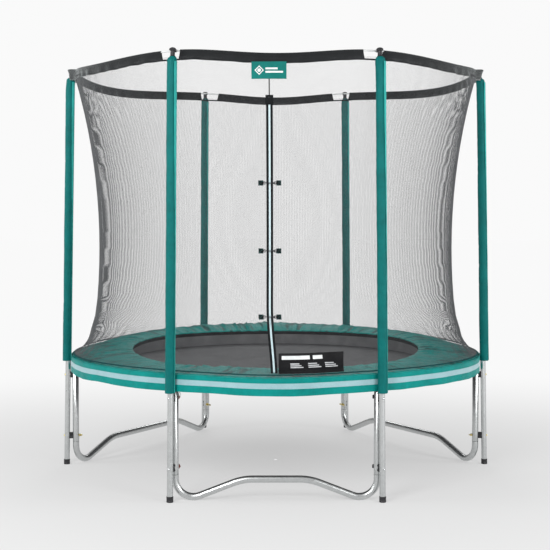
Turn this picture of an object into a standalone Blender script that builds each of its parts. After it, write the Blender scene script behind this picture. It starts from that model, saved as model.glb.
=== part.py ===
"""Round garden trampoline with a safety net, in metres, +Z up.

Three W-shaped tube legs carry a steel ring in six sections. Six poles stand outside the legs and hold
the safety net by a springy rod at its top hem. A woven mat hangs in the ring by springs, under a padded
ring cover with a skirt. The origin is on the ground below the centre, and the door faces -Y, turned
DOOR_AZIMUTH to the left.
Azimuths are degrees from -Y towards +X.
"""

import math

import bmesh
import bpy
from mathutils import Matrix, Vector

GAP = 0.0003

# Round pieces have flat facets, so a bore is this much wider to clear the tube inside it.
AROUND = 1 / math.cos(math.pi / 12)

# Stations, where a leg's upright and an enclosure pole stand side by side.
FRONT_AZIMUTH = 26.0
SIDE_AZIMUTH = 84.0
BACK_AZIMUTH = 156.5
STATIONS = {
    "front_left": -FRONT_AZIMUTH,
    "front_right": FRONT_AZIMUTH,
    "side_right": SIDE_AZIMUTH,
    "back_right": BACK_AZIMUTH,
    "back_left": -BACK_AZIMUTH,
    "side_left": -SIDE_AZIMUTH,
}
LEGS = {
    "front": ("front_left", "front_right"),
    "left": ("side_left", "back_left"),
    "right": ("side_right", "back_right"),
}

# Steel ring, legs and their joints.
FRAME_RADIUS = 1.2165
FRAME_TUBE = 0.019
FRAME_WALL = 0.0015
RING_HEIGHT = 0.626
STUB_RADIUS = 0.0164
STUB_BOTTOM = 0.552
BASE_TOP = 0.137
SPIGOT = 0.036
SHOULDER = 0.001
FOOT_BEND = 0.096
PLATEAU_BEND = 0.30
LEG_SLOPE = math.radians(21.0)
PLATEAU_HEIGHT = 0.112

# Enclosure poles. They lean in, so that the pole's radius shrinks with height.
POLE_FOOT_RADIUS = 1.272
POLE_HEAD_RADIUS = 1.2255
POLE_TUBE = 0.016
POLE_WALL = 0.0015
POLE_BOTTOM = 0.004
POLE_TOP = 2.316
HEIGHT = 2.372
FOOT_CAP_RADIUS = 0.0185
FOOT_CAP_HEIGHT = 0.031
HEAD_RADIUS = 0.0185
NECK_RADIUS = 0.012
HEAD_BOTTOM = 2.350

# Spacers between a pole and its upright.
SPACER_HEIGHTS = {"lower": 0.175, "upper": 0.545}
SPACER_LENGTH = 0.041
SPACER_HALF_WIDTH = 0.012

# Foam sleeves, off centre on the poles, because the skirt presses on their inner side.
SLEEVE_RADIUS = 0.026
SLEEVE_OFFSET = 0.0073
SLEEVE_BOTTOM = 0.568
SLEEVE_TOP = 2.314

# Mat, springs and ring cover.
MAT_RADIUS = 1.030
MAT_THICKNESS = 0.003
SPRINGS = 48
SPRING_WIDTH = 0.016
COVER_INNER = 0.870
COVER_OUTER = 1.239
COVER_BOTTOM = 0.6458
COVER_TOP = 0.6705
SKIRT_BOTTOM = 0.570
SKIRT_THICKNESS = 0.0015

# Safety net: an hourglass whose front meridian is an arc from the hem down to the flare.
WAIST_RADIUS = 1.0665
WAIST_HEIGHT = 1.33
MERIDIAN = 3.7
FLARE_TOP = 0.95
NET_TOP = 2.326
NET_BOTTOM = 0.6715
NET_THICKNESS = 0.003
FLARE = ((1.1150, 0.834), (1.1560, 0.725), (1.2270, NET_BOTTOM))

# Rod in the net's top hem, sagging between the poles.
ROD_RADIUS = 0.0045
ROD_RING_RADIUS = 1.1975
ROD_HEIGHT = 2.3565
ROD_SAG = 0.022

# Door in the net: zip slider and the clips across the zip.
DOOR_AZIMUTH = -1.8
SLIDER_HEIGHT = 2.100
SLIDER_LENGTH = 0.026
SLIDER_WIDTH = 0.014
SLIDER_THICKNESS = 0.006
SLIDER_STANDOFF = 0.004
CLIP_HEIGHTS = (1.671, 1.315, 0.968)
CLIP_LENGTH = 0.064
CLIP_WIDTH = 0.012
CLIP_THICKNESS = 0.004
CLIP_STANDOFF = 0.013


def clear_scene():
    for obj in list(bpy.data.objects):
        bpy.data.objects.remove(obj, do_unlink=True)


def new_collection(name):
    made = bpy.data.collections.new(name)
    bpy.context.scene.collection.children.link(made)
    return made


def material(name, colour, roughness, metallic=0.0):
    made = bpy.data.materials.new(name)
    made.use_nodes = True
    shader = made.node_tree.nodes["Principled BSDF"]
    shader.inputs["Base Color"].default_value = (*colour, 1.0)
    shader.inputs["Roughness"].default_value = roughness
    shader.inputs["Metallic"].default_value = metallic
    made.diffuse_color = (*colour, 1.0)
    return made


def outward(azimuth):
    angle = math.radians(azimuth)
    return Vector((math.sin(angle), -math.cos(angle), 0.0))


def turned_to(azimuth):
    """Turns local +X to the outward direction at this azimuth."""
    return Matrix.Rotation(math.radians(azimuth - 90.0), 4, "Z")


def lean():
    """Shears an upright shape by the poles' lean, in the frame of a pole's foot with +X outward."""
    shear = Matrix.Identity(4)
    shear[0][2] = (POLE_HEAD_RADIUS - POLE_FOOT_RADIUS) / HEIGHT
    return shear


def pole_radius(height):
    return POLE_FOOT_RADIUS + (POLE_HEAD_RADIUS - POLE_FOOT_RADIUS) * height / HEIGHT


def net_radius(height):
    """The net's outer radius from the hem down to the top of the flare."""
    rise = height - WAIST_HEIGHT
    return WAIST_RADIUS + MERIDIAN - math.sqrt(MERIDIAN**2 - rise**2)


def add(name, mesh, home, finish, matrix=Matrix.Identity(4)):
    """Puts the mesh in the scene as an object. The matrix holds turns and moves only."""
    obj = bpy.data.objects.new(name, mesh)
    home.objects.link(obj)
    obj.matrix_world = matrix
    mesh.materials.clear()
    mesh.materials.append(finish)
    for polygon in mesh.polygons:
        polygon.use_smooth = True
    mesh.set_sharp_from_angle(angle=math.radians(40))
    return obj


def settled(obj):
    """The mesh that an object and its modifiers make, with its caps welded. The object is removed."""
    bpy.context.scene.collection.objects.link(obj)
    graph = bpy.context.evaluated_depsgraph_get()
    mesh = bpy.data.meshes.new_from_object(obj.evaluated_get(graph))
    bpy.data.objects.remove(obj, do_unlink=True)
    shape = bmesh.new()
    shape.from_mesh(mesh)
    bmesh.ops.remove_doubles(shape, verts=shape.verts, dist=0.000001)
    bmesh.ops.recalc_face_normals(shape, faces=shape.faces)
    shape.to_mesh(mesh)
    shape.free()
    return mesh


def plate(outlines, height):
    """A flat outline from z = 0 to height. The first loop is its edge and any others are holes."""
    curve = bpy.data.curves.new("outline", "CURVE")
    curve.dimensions = "2D"
    curve.fill_mode = "BOTH"
    curve.extrude = height / 2
    for loop in outlines:
        spline = curve.splines.new("POLY")
        spline.points.add(len(loop) - 1)
        for point, (x, y) in zip(spline.points, loop):
            point.co = (x, y, 0.0, 1.0)
        spline.use_cyclic_u = True
    mesh = settled(bpy.data.objects.new("outline", curve))
    mesh.transform(Matrix.Translation((0.0, 0.0, height / 2)))
    return mesh


def tube(points, radius, sides=10, filled=True, scales=None, closed=False):
    """A round tube along the points, with flat ends when it is filled."""
    curve = bpy.data.curves.new("route", "CURVE")
    curve.dimensions = "3D"
    curve.bevel_depth = radius
    curve.bevel_resolution = sides // 2 - 2
    curve.use_fill_caps = filled
    spline = curve.splines.new("POLY")
    spline.points.add(len(points) - 1)
    for index, (point, place) in enumerate(zip(spline.points, points)):
        point.co = (*place, 1.0)
        point.radius = scales[index] if scales else 1.0
    spline.use_cyclic_u = closed
    return settled(bpy.data.objects.new("route", curve))


def turned(profile, steps, closed=True):
    """A profile of (radius, height) points, listed down its outer side, turned about Z."""
    mesh = bpy.data.meshes.new("profile")
    count = len(profile)
    edges = [(i, (i + 1) % count) for i in range(count if closed else count - 1)]
    mesh.from_pydata([(radius, 0.0, height) for radius, height in profile], edges, [])
    obj = bpy.data.objects.new("profile", mesh)
    screw = obj.modifiers.new("Screw", "SCREW")
    screw.steps = steps
    screw.render_steps = steps
    screw.use_merge_vertices = True
    screw.merge_threshold = 0.00001
    return settled(obj)


def circle(radius, count, centre_x=0.0):
    turns = [2 * math.pi * (i + 0.5) / count for i in range(count)]
    return [(centre_x + radius * math.cos(a), radius * math.sin(a)) for a in turns]


def cut(obj, cutter, operation="DIFFERENCE"):
    cutter.hide_render = True
    cutter.display_type = "WIRE"
    boolean = obj.modifiers.new(operation.title(), "BOOLEAN")
    boolean.operation = operation
    boolean.object = cutter


def ring_arc(start, end, radius, steps):
    """An arc at the ring's height. Its first and last steps are short, so that its ends face squarely."""
    square = 0.1
    turns = [start + (end - start) * i / steps for i in range(steps + 1)]
    turns[1:1] = [start + square]
    turns[-1:-1] = [end - square]
    return [outward(a) * radius + Vector((0.0, 0.0, RING_HEIGHT)) for a in turns]


def ring_section_limits():
    """Each section runs from halfway to the last station to halfway to the next."""
    ordered = sorted(STATIONS.items(), key=lambda item: item[1])
    for index, (station, azimuth) in enumerate(ordered):
        before = ordered[index - 1][1] - (360.0 if index == 0 else 0.0)
        after = ordered[(index + 1) % len(ordered)][1] + (360.0 if index == len(ordered) - 1 else 0.0)
        yield station, azimuth, (before + azimuth) / 2, (azimuth + after) / 2


def make_ring(parts, cutters, steel):
    """Six tube sections that meet end to end, each with a stub that a leg's upright slides over."""
    joint = math.degrees(GAP / FRAME_RADIUS)
    for station, azimuth, start, end in ring_section_limits():
        route = ring_arc(start + joint, end - joint, FRAME_RADIUS, 9)
        section = add(f"ring_section_{station}", tube(route, FRAME_TUBE), parts, steel)
        height = RING_HEIGHT - 0.004 - STUB_BOTTOM
        post = plate([circle(STUB_RADIUS, 12)], height)
        place = outward(azimuth) * FRAME_RADIUS + Vector((0.0, 0.0, STUB_BOTTOM))
        stub = add(f"stub_{station}", post, cutters, steel, Matrix.Translation(place))
        core_route = ring_arc(start - 1.0, end + 1.0, FRAME_RADIUS, 9)
        core_mesh = tube(core_route, FRAME_TUBE - FRAME_WALL)
        core = add(f"core_{station}", core_mesh, cutters, steel)
        cut(section, stub, "UNION")
        cut(section, core)


def hollow(obj, wall):
    solidify = obj.modifiers.new("Wall", "SOLIDIFY")
    solidify.thickness = wall
    solidify.offset = -1.0


def make_uprights(parts, steel):
    for station, azimuth in STATIONS.items():
        route = [(0.0, 0.0, BASE_TOP + GAP), (0.0, 0.0, RING_HEIGHT - FRAME_TUBE - 2 * GAP)]
        place = Matrix.Translation(outward(azimuth) * FRAME_RADIUS)
        upright = tube(route, FRAME_TUBE, sides=12, filled=False)
        hollow(add(f"leg_upright_{station}", upright, parts, steel, place), FRAME_WALL)


def bend(centre, radius, start, end, steps):
    """Points along an arc in the leg's plane, as (along, height)."""
    turns = [start + (end - start) * i / steps for i in range(steps + 1)]
    return [(centre[0] + radius * math.cos(a), centre[1] + radius * math.sin(a)) for a in turns]


def base_route(span):
    """Half of the W from the top of one spigot, then its mirror image, as (along, height)."""
    foot = (FOOT_BEND, FRAME_TUBE + FOOT_BEND)
    lowest = -math.pi / 2
    route = [(0.0, BASE_TOP + SPIGOT), (0.0, BASE_TOP), (0.0, BASE_TOP - SHOULDER)]
    route += bend(foot, FOOT_BEND, -math.pi, lowest + LEG_SLOPE, 6)
    end_of_foot = route[-1]
    crest = PLATEAU_HEIGHT - PLATEAU_BEND
    rise = crest + PLATEAU_BEND * math.cos(LEG_SLOPE) - end_of_foot[1]
    start_of_crest = end_of_foot[0] + rise / math.tan(LEG_SLOPE)
    middle = (start_of_crest + PLATEAU_BEND * math.sin(LEG_SLOPE), crest)
    route += bend(middle, PLATEAU_BEND, math.pi / 2 + LEG_SLOPE, math.pi / 2, 3)
    return route + [(span - along, height) for along, height in reversed(route)]


def make_bases(parts, steel):
    """Each base is bent in the upright plane through its two uprights, and its ends plug into them."""
    spigot = STUB_RADIUS / FRAME_TUBE
    for leg, (first, second) in LEGS.items():
        start = outward(STATIONS[first]) * FRAME_RADIUS
        along = outward(STATIONS[second]) * FRAME_RADIUS - start
        route = base_route(along.length)
        along.normalize()
        points = [start + along * s + Vector((0.0, 0.0, h)) for s, h in route]
        scales = [1.0] * len(points)
        scales[:2] = scales[-2:] = [spigot, spigot]
        base = tube(points, FRAME_TUBE, filled=False, scales=scales)
        hollow(add(f"leg_base_{leg}", base, parts, steel), FRAME_WALL)


def pole_place(azimuth):
    return Matrix.Translation(outward(azimuth) * POLE_FOOT_RADIUS) @ turned_to(azimuth)


def make_poles(parts, steel, black):
    bore = (POLE_TUBE + GAP) * AROUND
    foot_profile = [
        (0.0, FOOT_CAP_HEIGHT - 0.0275),
        (bore, FOOT_CAP_HEIGHT - 0.0275),
        (bore, FOOT_CAP_HEIGHT),
        (FOOT_CAP_RADIUS, FOOT_CAP_HEIGHT),
        (FOOT_CAP_RADIUS, 0.0),
        (0.0, 0.0),
    ]
    plug = (POLE_TUBE - POLE_WALL) / AROUND - GAP
    flange = POLE_TOP + GAP
    head_middle = (HEAD_BOTTOM + HEIGHT) / 2
    head_profile = [
        (0.0, HEIGHT),
        (HEAD_RADIUS * 0.6, HEIGHT - 0.0025),
        (HEAD_RADIUS, head_middle),
        (HEAD_RADIUS * 0.8, HEAD_BOTTOM),
        (NECK_RADIUS, HEAD_BOTTOM),
        (NECK_RADIUS, flange + 0.004),
        (POLE_TUBE, flange + 0.004),
        (POLE_TUBE, flange),
        (plug, flange),
        (plug, flange - 0.030),
        (0.0, flange - 0.030),
    ]
    for station, azimuth in STATIONS.items():
        place = pole_place(azimuth)
        route = [(0.0, 0.0, POLE_BOTTOM), (0.0, 0.0, POLE_TOP)]
        pole = tube(route, POLE_TUBE, sides=12, filled=False)
        pole.transform(lean())
        hollow(add(f"enclosure_pole_{station}", pole, parts, steel, place), POLE_WALL)
        foot = turned(foot_profile, 12, closed=False)
        foot.transform(lean())
        add(f"pole_foot_cap_{station}", foot, parts, black, place)
        head = turned(head_profile, 12, closed=False)
        head.transform(lean())
        add(f"pole_top_cap_{station}", head, parts, black, place)


def saddle(centre, radius, half_width, facing, count=5):
    """Points across a hollow that fits round a tube. Facing is +1 where it opens towards +X."""
    reach = math.asin(half_width / radius)
    turns = [reach * (2 * i / count - 1) for i in range(count + 1)]
    return [(centre - facing * radius * math.cos(a), radius * math.sin(a)) for a in turns]


def make_spacers(parts, black):
    """Plastic blocks hollowed to the upright on one side and to the leaning pole on the other."""
    for level, height in SPACER_HEIGHTS.items():
        middle = pole_radius(height) - FRAME_RADIUS
        slack = GAP + 0.0006
        upright_side = saddle(0.0, FRAME_TUBE + GAP, SPACER_HALF_WIDTH, -1)
        pole_side = saddle(middle, POLE_TUBE + slack, SPACER_HALF_WIDTH, 1)
        outline = upright_side + list(reversed(pole_side))
        for station, azimuth in STATIONS.items():
            block = plate([outline], SPACER_LENGTH)
            block.transform(Matrix.Translation((0.0, 0.0, height - SPACER_LENGTH / 2)))
            place = Matrix.Translation(outward(azimuth) * FRAME_RADIUS) @ turned_to(azimuth)
            add(f"clamp_spacer_{level}_{station}", block, parts, black, place)


def make_sleeves(parts, foam):
    bore = circle((POLE_TUBE + GAP) * AROUND, 12)
    rim = circle(SLEEVE_RADIUS, 16, SLEEVE_OFFSET)
    for station, azimuth in STATIONS.items():
        sleeve = plate([rim, bore], SLEEVE_TOP - SLEEVE_BOTTOM)
        sleeve.transform(lean() @ Matrix.Translation((0.0, 0.0, SLEEVE_BOTTOM)))
        add(f"pole_sleeve_{station}", sleeve, parts, foam, pole_place(azimuth))


def make_mat(parts, woven, steel):
    """The springs are one flat star here: a bar for each spring, on a narrow ring at the mat's edge."""
    mat = plate([circle(MAT_RADIUS, 96)], MAT_THICKNESS)
    low = RING_HEIGHT - MAT_THICKNESS / 2
    add("jumping_mat", mat, parts, woven, Matrix.Translation((0.0, 0.0, low)))
    eye = MAT_RADIUS + 0.003
    root = eye + 0.008
    tip = FRAME_RADIUS - FRAME_TUBE - 0.004
    star = []
    for index in range(SPRINGS):
        middle = 2 * math.pi * index / SPRINGS
        for radius, side in ((root, -1), (tip, -1), (tip, 1), (root, 1)):
            turn = middle + side * SPRING_WIDTH / 2 / radius
            star.append((radius * math.cos(turn), radius * math.sin(turn)))
    springs = plate([star, circle(eye, 96)], SPRING_WIDTH)
    low = RING_HEIGHT - SPRING_WIDTH / 2
    add("mat_springs", springs, parts, steel, Matrix.Translation((0.0, 0.0, low)))


def make_cover(parts, vinyl):
    lip = COVER_OUTER - SKIRT_THICKNESS
    profile = [
        (COVER_INNER, COVER_TOP),
        (COVER_OUTER, COVER_TOP),
        (COVER_OUTER, SKIRT_BOTTOM),
        (lip, SKIRT_BOTTOM),
        (lip, COVER_BOTTOM),
        (COVER_INNER, COVER_BOTTOM),
    ]
    add("spring_cover_pad", turned(profile, 96), parts, vinyl)


def make_net(parts, mesh_cloth):
    heights = [NET_TOP + (FLARE_TOP - NET_TOP) * i / 6 for i in range(7)]
    outer = [(net_radius(height), height) for height in heights] + list(FLARE)
    inner = [(radius - NET_THICKNESS, height) for radius, height in reversed(outer)]
    add("safety_net", turned(outer + inner, 48), parts, mesh_cloth)


def rod_sag(azimuth):
    """How far the rod hangs below its height at the poles."""
    ordered = sorted(STATIONS.values())
    stops = [ordered[-1] - 360.0, *ordered, ordered[0] + 360.0]
    for before, after in zip(stops, stops[1:]):
        if before <= azimuth <= after:
            return ROD_SAG * math.sin(math.pi * (azimuth - before) / (after - before)) ** 2
    return 0.0


def make_rod(parts, fibreglass):
    count = 72
    route = []
    for index in range(count):
        azimuth = 360.0 * index / count - 180.0
        height = ROD_HEIGHT - rod_sag(azimuth)
        route.append(outward(azimuth) * ROD_RING_RADIUS + Vector((0.0, 0.0, height)))
    rod = tube(route, ROD_RADIUS, sides=6, filled=False, closed=True)
    add("net_top_rod", rod, parts, fibreglass)


def on_meridian(height, standoff):
    """The frame of a piece on the door: X across it, Y up along the net and Z away from it."""
    angle = math.asin((height - WAIST_HEIGHT) / MERIDIAN)
    up = Vector((0.0, -math.sin(angle), math.cos(angle)))
    away = Vector((0.0, -math.cos(angle), -math.sin(angle)))
    place = Vector((0.0, -net_radius(height), height)) + away * standoff
    axes = Matrix((Vector((1.0, 0.0, 0.0)), up, away)).transposed().to_4x4()
    return door_turn() @ Matrix.Translation(place) @ axes


def door_turn():
    return Matrix.Rotation(math.radians(DOOR_AZIMUTH), 4, "Z")


def rounded_bar(length, width, count=4):
    """An upright or a level bar with round ends, centred, as an outline."""
    radius = width / 2
    reach = length / 2 - radius
    outline = []
    for side in (1, -1):
        for i in range(count + 1):
            turn = math.pi * i / count - math.pi / 2
            outline.append((side * (reach + radius * math.cos(turn)), side * radius * math.sin(turn)))
    return outline


def make_door(parts, black):
    """The slider's pivot empty is the centre of the arc that the zip follows."""
    pivot = bpy.data.objects.new("zip_path_centre", None)
    parts.objects.link(pivot)
    pivot.location = door_turn() @ Vector((0.0, -(WAIST_RADIUS + MERIDIAN), WAIST_HEIGHT))
    bpy.context.view_layer.update()
    half = SLIDER_WIDTH / 2
    shield = [
        (-half * 0.55, -SLIDER_LENGTH / 2),
        (half * 0.55, -SLIDER_LENGTH / 2),
        (half, SLIDER_LENGTH * 0.15),
        (half * 0.8, SLIDER_LENGTH / 2),
        (-half * 0.8, SLIDER_LENGTH / 2),
        (-half, SLIDER_LENGTH * 0.15),
    ]
    place = on_meridian(SLIDER_HEIGHT, SLIDER_STANDOFF)
    slider = add("zip_slider", plate([shield], SLIDER_THICKNESS), parts, black, place)
    slider.parent = pivot
    slider.matrix_parent_inverse = pivot.matrix_world.inverted()
    for number, height in enumerate(CLIP_HEIGHTS, start=1):
        clip = plate([rounded_bar(CLIP_LENGTH, CLIP_WIDTH)], CLIP_THICKNESS)
        place = on_meridian(height, CLIP_STANDOFF)
        add(f"door_clip_hook_{number}", clip, parts, black, place)


def main():
    clear_scene()
    parts = new_collection("garden_trampoline")
    cutters = new_collection("cutters")
    steel = material("galvanised steel", (0.62, 0.64, 0.65), 0.32, 1.0)
    black = material("black plastic", (0.02, 0.02, 0.022), 0.5)
    foam = material("teal foam sleeve", (0.0, 0.34, 0.29), 0.45)
    vinyl = material("teal vinyl", (0.0, 0.36, 0.30), 0.4)
    woven = material("black woven mat", (0.03, 0.03, 0.033), 0.75)
    mesh_cloth = material("black net", (0.05, 0.05, 0.055), 0.8)
    fibreglass = material("white fibreglass", (0.85, 0.86, 0.86), 0.4)
    make_ring(parts, cutters, steel)
    make_uprights(parts, steel)
    make_bases(parts, steel)
    make_poles(parts, steel, black)
    make_spacers(parts, black)
    make_sleeves(parts, foam)
    make_mat(parts, woven, steel)
    make_cover(parts, vinyl)
    make_net(parts, mesh_cloth)
    make_rod(parts, fibreglass)
    make_door(parts, black)


main()
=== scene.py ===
"""Looks of the garden trampoline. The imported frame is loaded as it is, and each piece is built round it.

Metres, +Z up, the ground at z = 0, and the zip door towards -Y. Azimuths are degrees from -Y towards +X.
"""

import math

import bpy
import numpy as np
from mathutils import Matrix


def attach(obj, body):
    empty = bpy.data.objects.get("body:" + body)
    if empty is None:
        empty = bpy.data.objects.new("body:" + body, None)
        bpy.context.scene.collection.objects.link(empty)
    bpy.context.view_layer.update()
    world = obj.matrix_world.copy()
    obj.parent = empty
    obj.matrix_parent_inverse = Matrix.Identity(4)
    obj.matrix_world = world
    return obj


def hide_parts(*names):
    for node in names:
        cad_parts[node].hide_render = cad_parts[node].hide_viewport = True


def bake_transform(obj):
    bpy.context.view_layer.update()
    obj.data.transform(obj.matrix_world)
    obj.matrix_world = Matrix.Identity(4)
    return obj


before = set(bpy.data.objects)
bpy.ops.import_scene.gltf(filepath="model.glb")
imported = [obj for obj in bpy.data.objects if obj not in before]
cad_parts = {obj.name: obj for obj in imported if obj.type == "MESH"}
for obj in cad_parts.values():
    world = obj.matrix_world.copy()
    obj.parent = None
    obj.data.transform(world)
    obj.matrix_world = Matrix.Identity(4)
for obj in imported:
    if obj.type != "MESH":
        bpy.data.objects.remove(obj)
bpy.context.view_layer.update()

# Stations, where a leg's upright and a net pole stand side by side.
STATIONS = {
    "front_left": -26.0,
    "front_right": 26.0,
    "side_right": 84.0,
    "back_right": 156.5,
    "back_left": -156.5,
    "side_left": -84.0,
}
LEGS = {
    "front": ("front_left", "front_right"),
    "left": ("side_left", "back_left"),
    "right": ("side_right", "back_right"),
}

# Steel ring and legs.
FRAME_RADIUS = 1.2165
FRAME_TUBE = 0.019
RING_HEIGHT = 0.626
STUB_RADIUS = 0.0164
BASE_TOP = 0.137
SPIGOT = 0.036
FOOT_BEND = 0.096
PLATEAU_BEND = 0.30
LEG_SLOPE = math.radians(21.0)
PLATEAU_HEIGHT = 0.112

# Net poles, which lean in.
POLE_FOOT_RADIUS = 1.272
POLE_HEAD_RADIUS = 1.2255
POLE_TUBE = 0.016
POLE_TOP = 2.316
HEIGHT = 2.372
FOOT_CAP_RADIUS = 0.0185
FOOT_CAP_HEIGHT = 0.031
HEAD_RADIUS = 0.0185
NECK_RADIUS = 0.012

# Clamps between a pole and its upright.
CLAMP_HEIGHTS = {"lower": 0.175, "upper": 0.545}
SPACER_LENGTH = 0.036
SPACER_HALF_WIDTH = 0.0108

# Foam sleeves.
SLEEVE_RADIUS = 0.0262
SLEEVE_OFFSET = 0.0073
SLEEVE_BOTTOMS = {"front_left": 0.574, "front_right": 0.574, "side_right": 0.629, "side_left": 0.629,
                  "back_right": 0.600, "back_left": 0.600}

# Mat, springs and ring cover.
MAT_RADIUS = 1.030
MAT_THICKNESS = 0.003
SPRINGS = 48
SECTORS = 24
COVER_INNER = 0.870
COVER_OUTER = 1.239
COVER_BOTTOM = 0.6458
COVER_TOP = 0.6705
SKIRT_BOTTOM = 0.570

# How far the cover stands up above its flat height, as (azimuth either way from the front, height).
INNER_LIFTS = ((0.0, 0.016), (45.0, 0.016), (70.0, 0.030), (90.0, 0.050), (120.0, 0.066), (180.0, 0.062))
CREST_LIFTS = ((0.0, 0.006), (45.0, 0.012), (90.0, 0.026), (120.0, 0.060), (150.0, 0.078), (180.0, 0.090))
RIM_LIFTS = ((0.0, 0.0), (20.0, 0.012), (50.0, 0.013), (84.0, 0.005), (105.0, 0.008), (120.0, 0.018),
             (150.0, 0.026), (180.0, 0.030))
COVER_SEAMS = tuple(15.0 + 45.0 * i for i in range(8))
COVER_CREASES = {21: range(13, 49, 3), 22: range(29, 80, 5)}
SKIRT_TOP = COVER_TOP - 0.0106
SKIRT_INNERMOST = 1.2374
STRIPE = (0.6065, 0.6345)

# Safety net and the rod in its hem.
WAIST_RADIUS = 1.0665
WAIST_HEIGHT = 1.33
MERIDIAN = 3.7
FLARE_TOP = 0.95
NET_BOTTOM = 0.6735
FLARE_HEIGHTS = (NET_BOTTOM, 0.690, 0.725, 0.834, FLARE_TOP)
FLARE_RADII = (1.2290, 1.190, 1.1560, 1.1150, 1.0861)
ROD_RADIUS = 0.0045
ROD_RING_RADIUS = 1.1975
ROD_HEIGHT = 2.3565
ROD_SAG = 0.022
HEM_DEPTH = 0.048
FRONT_SAG = 0.010
NET_THREADS = 1440

# The hem's windows round the poles, in degrees either side.
WINDOWS = {"front_left": (4.2, 1.4), "front_right": (4.0, 1.8),
           "back_right": (2.2, 4.0), "back_left": (4.2, 2.2)}

# Door.
DOOR_AZIMUTH = -1.8
SLIDER_HEIGHT = 2.100
CLIP_HEIGHTS = (1.671, 1.315, 0.968)
CLIP_STANDOFF = 0.013
ZIP_TOP = 2.085
ZIP_BOTTOM = 0.682
CLIP_SQUARE_OFFSET = 0.0470

# Nuts inside the legs, and what the front ones are made of.
NUTS = {"front_left": "knob", "front_right": "knob", "side_left": "wing", "side_right": "nut",
        "back_left": "wing", "back_right": "wing"}
KNOB_FINISH = {"front_left": "knob", "front_right": "plastic"}

# Camera, lights and what the world sends and shows.
CAMERA_PLACE = (-0.024, -7.494, 1.4814)
CAMERA_TURN = (math.radians(90.0 - 2.61), 0.0, -0.0027)
LENS = 80.1
WORLD_LIGHTING = 0.42
WORLD_SEEN = 0.955
LIGHTS = {
    "key": ((-2.6, -5.6, 3.4), (0.0, 0.0, 0.9), 2.6, 230.0),
    "fill": ((3.6, -5.2, 2.2), (0.0, 0.0, 0.9), 2.6, 130.0),
    "back": ((0.0, 5.2, 4.6), (0.0, 0.0, 1.2), 3.0, 90.0),
    "left side": ((-5.6, -1.4, 2.8), (0.0, 0.0, 1.3), 2.4, 120.0),
    "right side": ((5.6, -1.4, 2.8), (0.0, 0.0, 1.3), 2.4, 120.0),
}

UP = (0.0, 0.0, 1.0)
ACROSS = (0.0, 1.0, 0.0)
QUARTER_TURN = Matrix.Rotation(math.radians(90.0), 4, "Y")


# ---------------------------------------------------------------- camera, light and floor

def make_camera():
    data = bpy.data.cameras.new("camera")
    data.sensor_width = 36.0
    data.lens = LENS
    data.clip_end = 100.0
    camera = bpy.data.objects.new("camera", data)
    bpy.context.scene.collection.objects.link(camera)
    camera.location = CAMERA_PLACE
    camera.rotation_euler = CAMERA_TURN
    bpy.context.scene.camera = camera


def make_light(name, place, aim, size, power):
    data = bpy.data.lights.new(name, "AREA")
    data.shape = "DISK"
    data.size = size
    data.energy = power
    light = bpy.data.objects.new(name, data)
    light.visible_camera = False
    bpy.context.scene.collection.objects.link(light)
    backward = np.subtract(place, aim)
    backward /= np.linalg.norm(backward)
    side = np.cross(UP, backward)
    side /= np.linalg.norm(side)
    columns = np.stack([side, np.cross(backward, side), backward, place], axis=1)
    light.matrix_world = Matrix(columns.tolist() + [[0.0, 0.0, 0.0, 1.0]])


def make_studio():
    world = bpy.data.worlds.new("studio")
    world.use_nodes = True
    background = world.node_tree.nodes["Background"]
    background.inputs["Color"].default_value = (1.0, 1.0, 1.0, 1.0)
    nodes, links = world.node_tree.nodes, world.node_tree.links
    seen = nodes.new("ShaderNodeLightPath")
    strength = nodes.new("ShaderNodeMapRange")
    strength.inputs["To Min"].default_value = WORLD_LIGHTING
    strength.inputs["To Max"].default_value = WORLD_SEEN
    links.new(seen.outputs["Is Camera Ray"], strength.inputs["Value"])
    links.new(strength.outputs["Result"], background.inputs["Strength"])
    bpy.context.scene.world = world
    bpy.context.scene.view_settings.view_transform = "Standard"
    for name, (place, aim, size, power) in LIGHTS.items():
        make_light(name, place, aim, size, power)


# ---------------------------------------------------------------- shapes

class Shape:
    """Vertices, faces, each face corner's cloth coordinates in metres, and each face's finish number."""

    def __init__(self, verts, faces, uvs, finish=0):
        self.verts = np.asarray(verts, float)
        self.faces = faces
        self.uvs = uvs
        self.finish = [finish] * len(faces) if isinstance(finish, int) else list(finish)

    def moved(self, change):
        """The same shape with its vertices changed by a function or a 4x4 matrix."""
        if callable(change):
            verts = change(self.verts)
        else:
            matrix = np.array(change, float)
            verts = self.verts @ matrix[:3, :3].T + matrix[:3, 3]
        return Shape(verts, self.faces, self.uvs, self.finish)

    def finished(self, number):
        return Shape(self.verts, self.faces, self.uvs, number)


def joined(shapes):
    verts, faces, uvs, finish, count = [], [], [], [], 0
    for shape in shapes:
        verts.append(shape.verts)
        faces += [[index + count for index in face] for face in shape.faces]
        uvs += shape.uvs
        finish += shape.finish
        count += len(shape.verts)
    return Shape(np.concatenate(verts), faces, uvs, finish)


def smoothstep(t):
    t = np.clip(t, 0.0, 1.0)
    return t * t * (3.0 - 2.0 * t)


def lengths(points, closing):
    """Running length along each row of an array of points (n, k, 3), averaged over the rows."""
    after = np.concatenate([points, points[:, :1]], axis=1) if closing else points
    steps = np.linalg.norm(np.diff(after, axis=1), axis=2).mean(axis=0)
    return np.concatenate([[0.0], np.cumsum(steps)])


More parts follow.
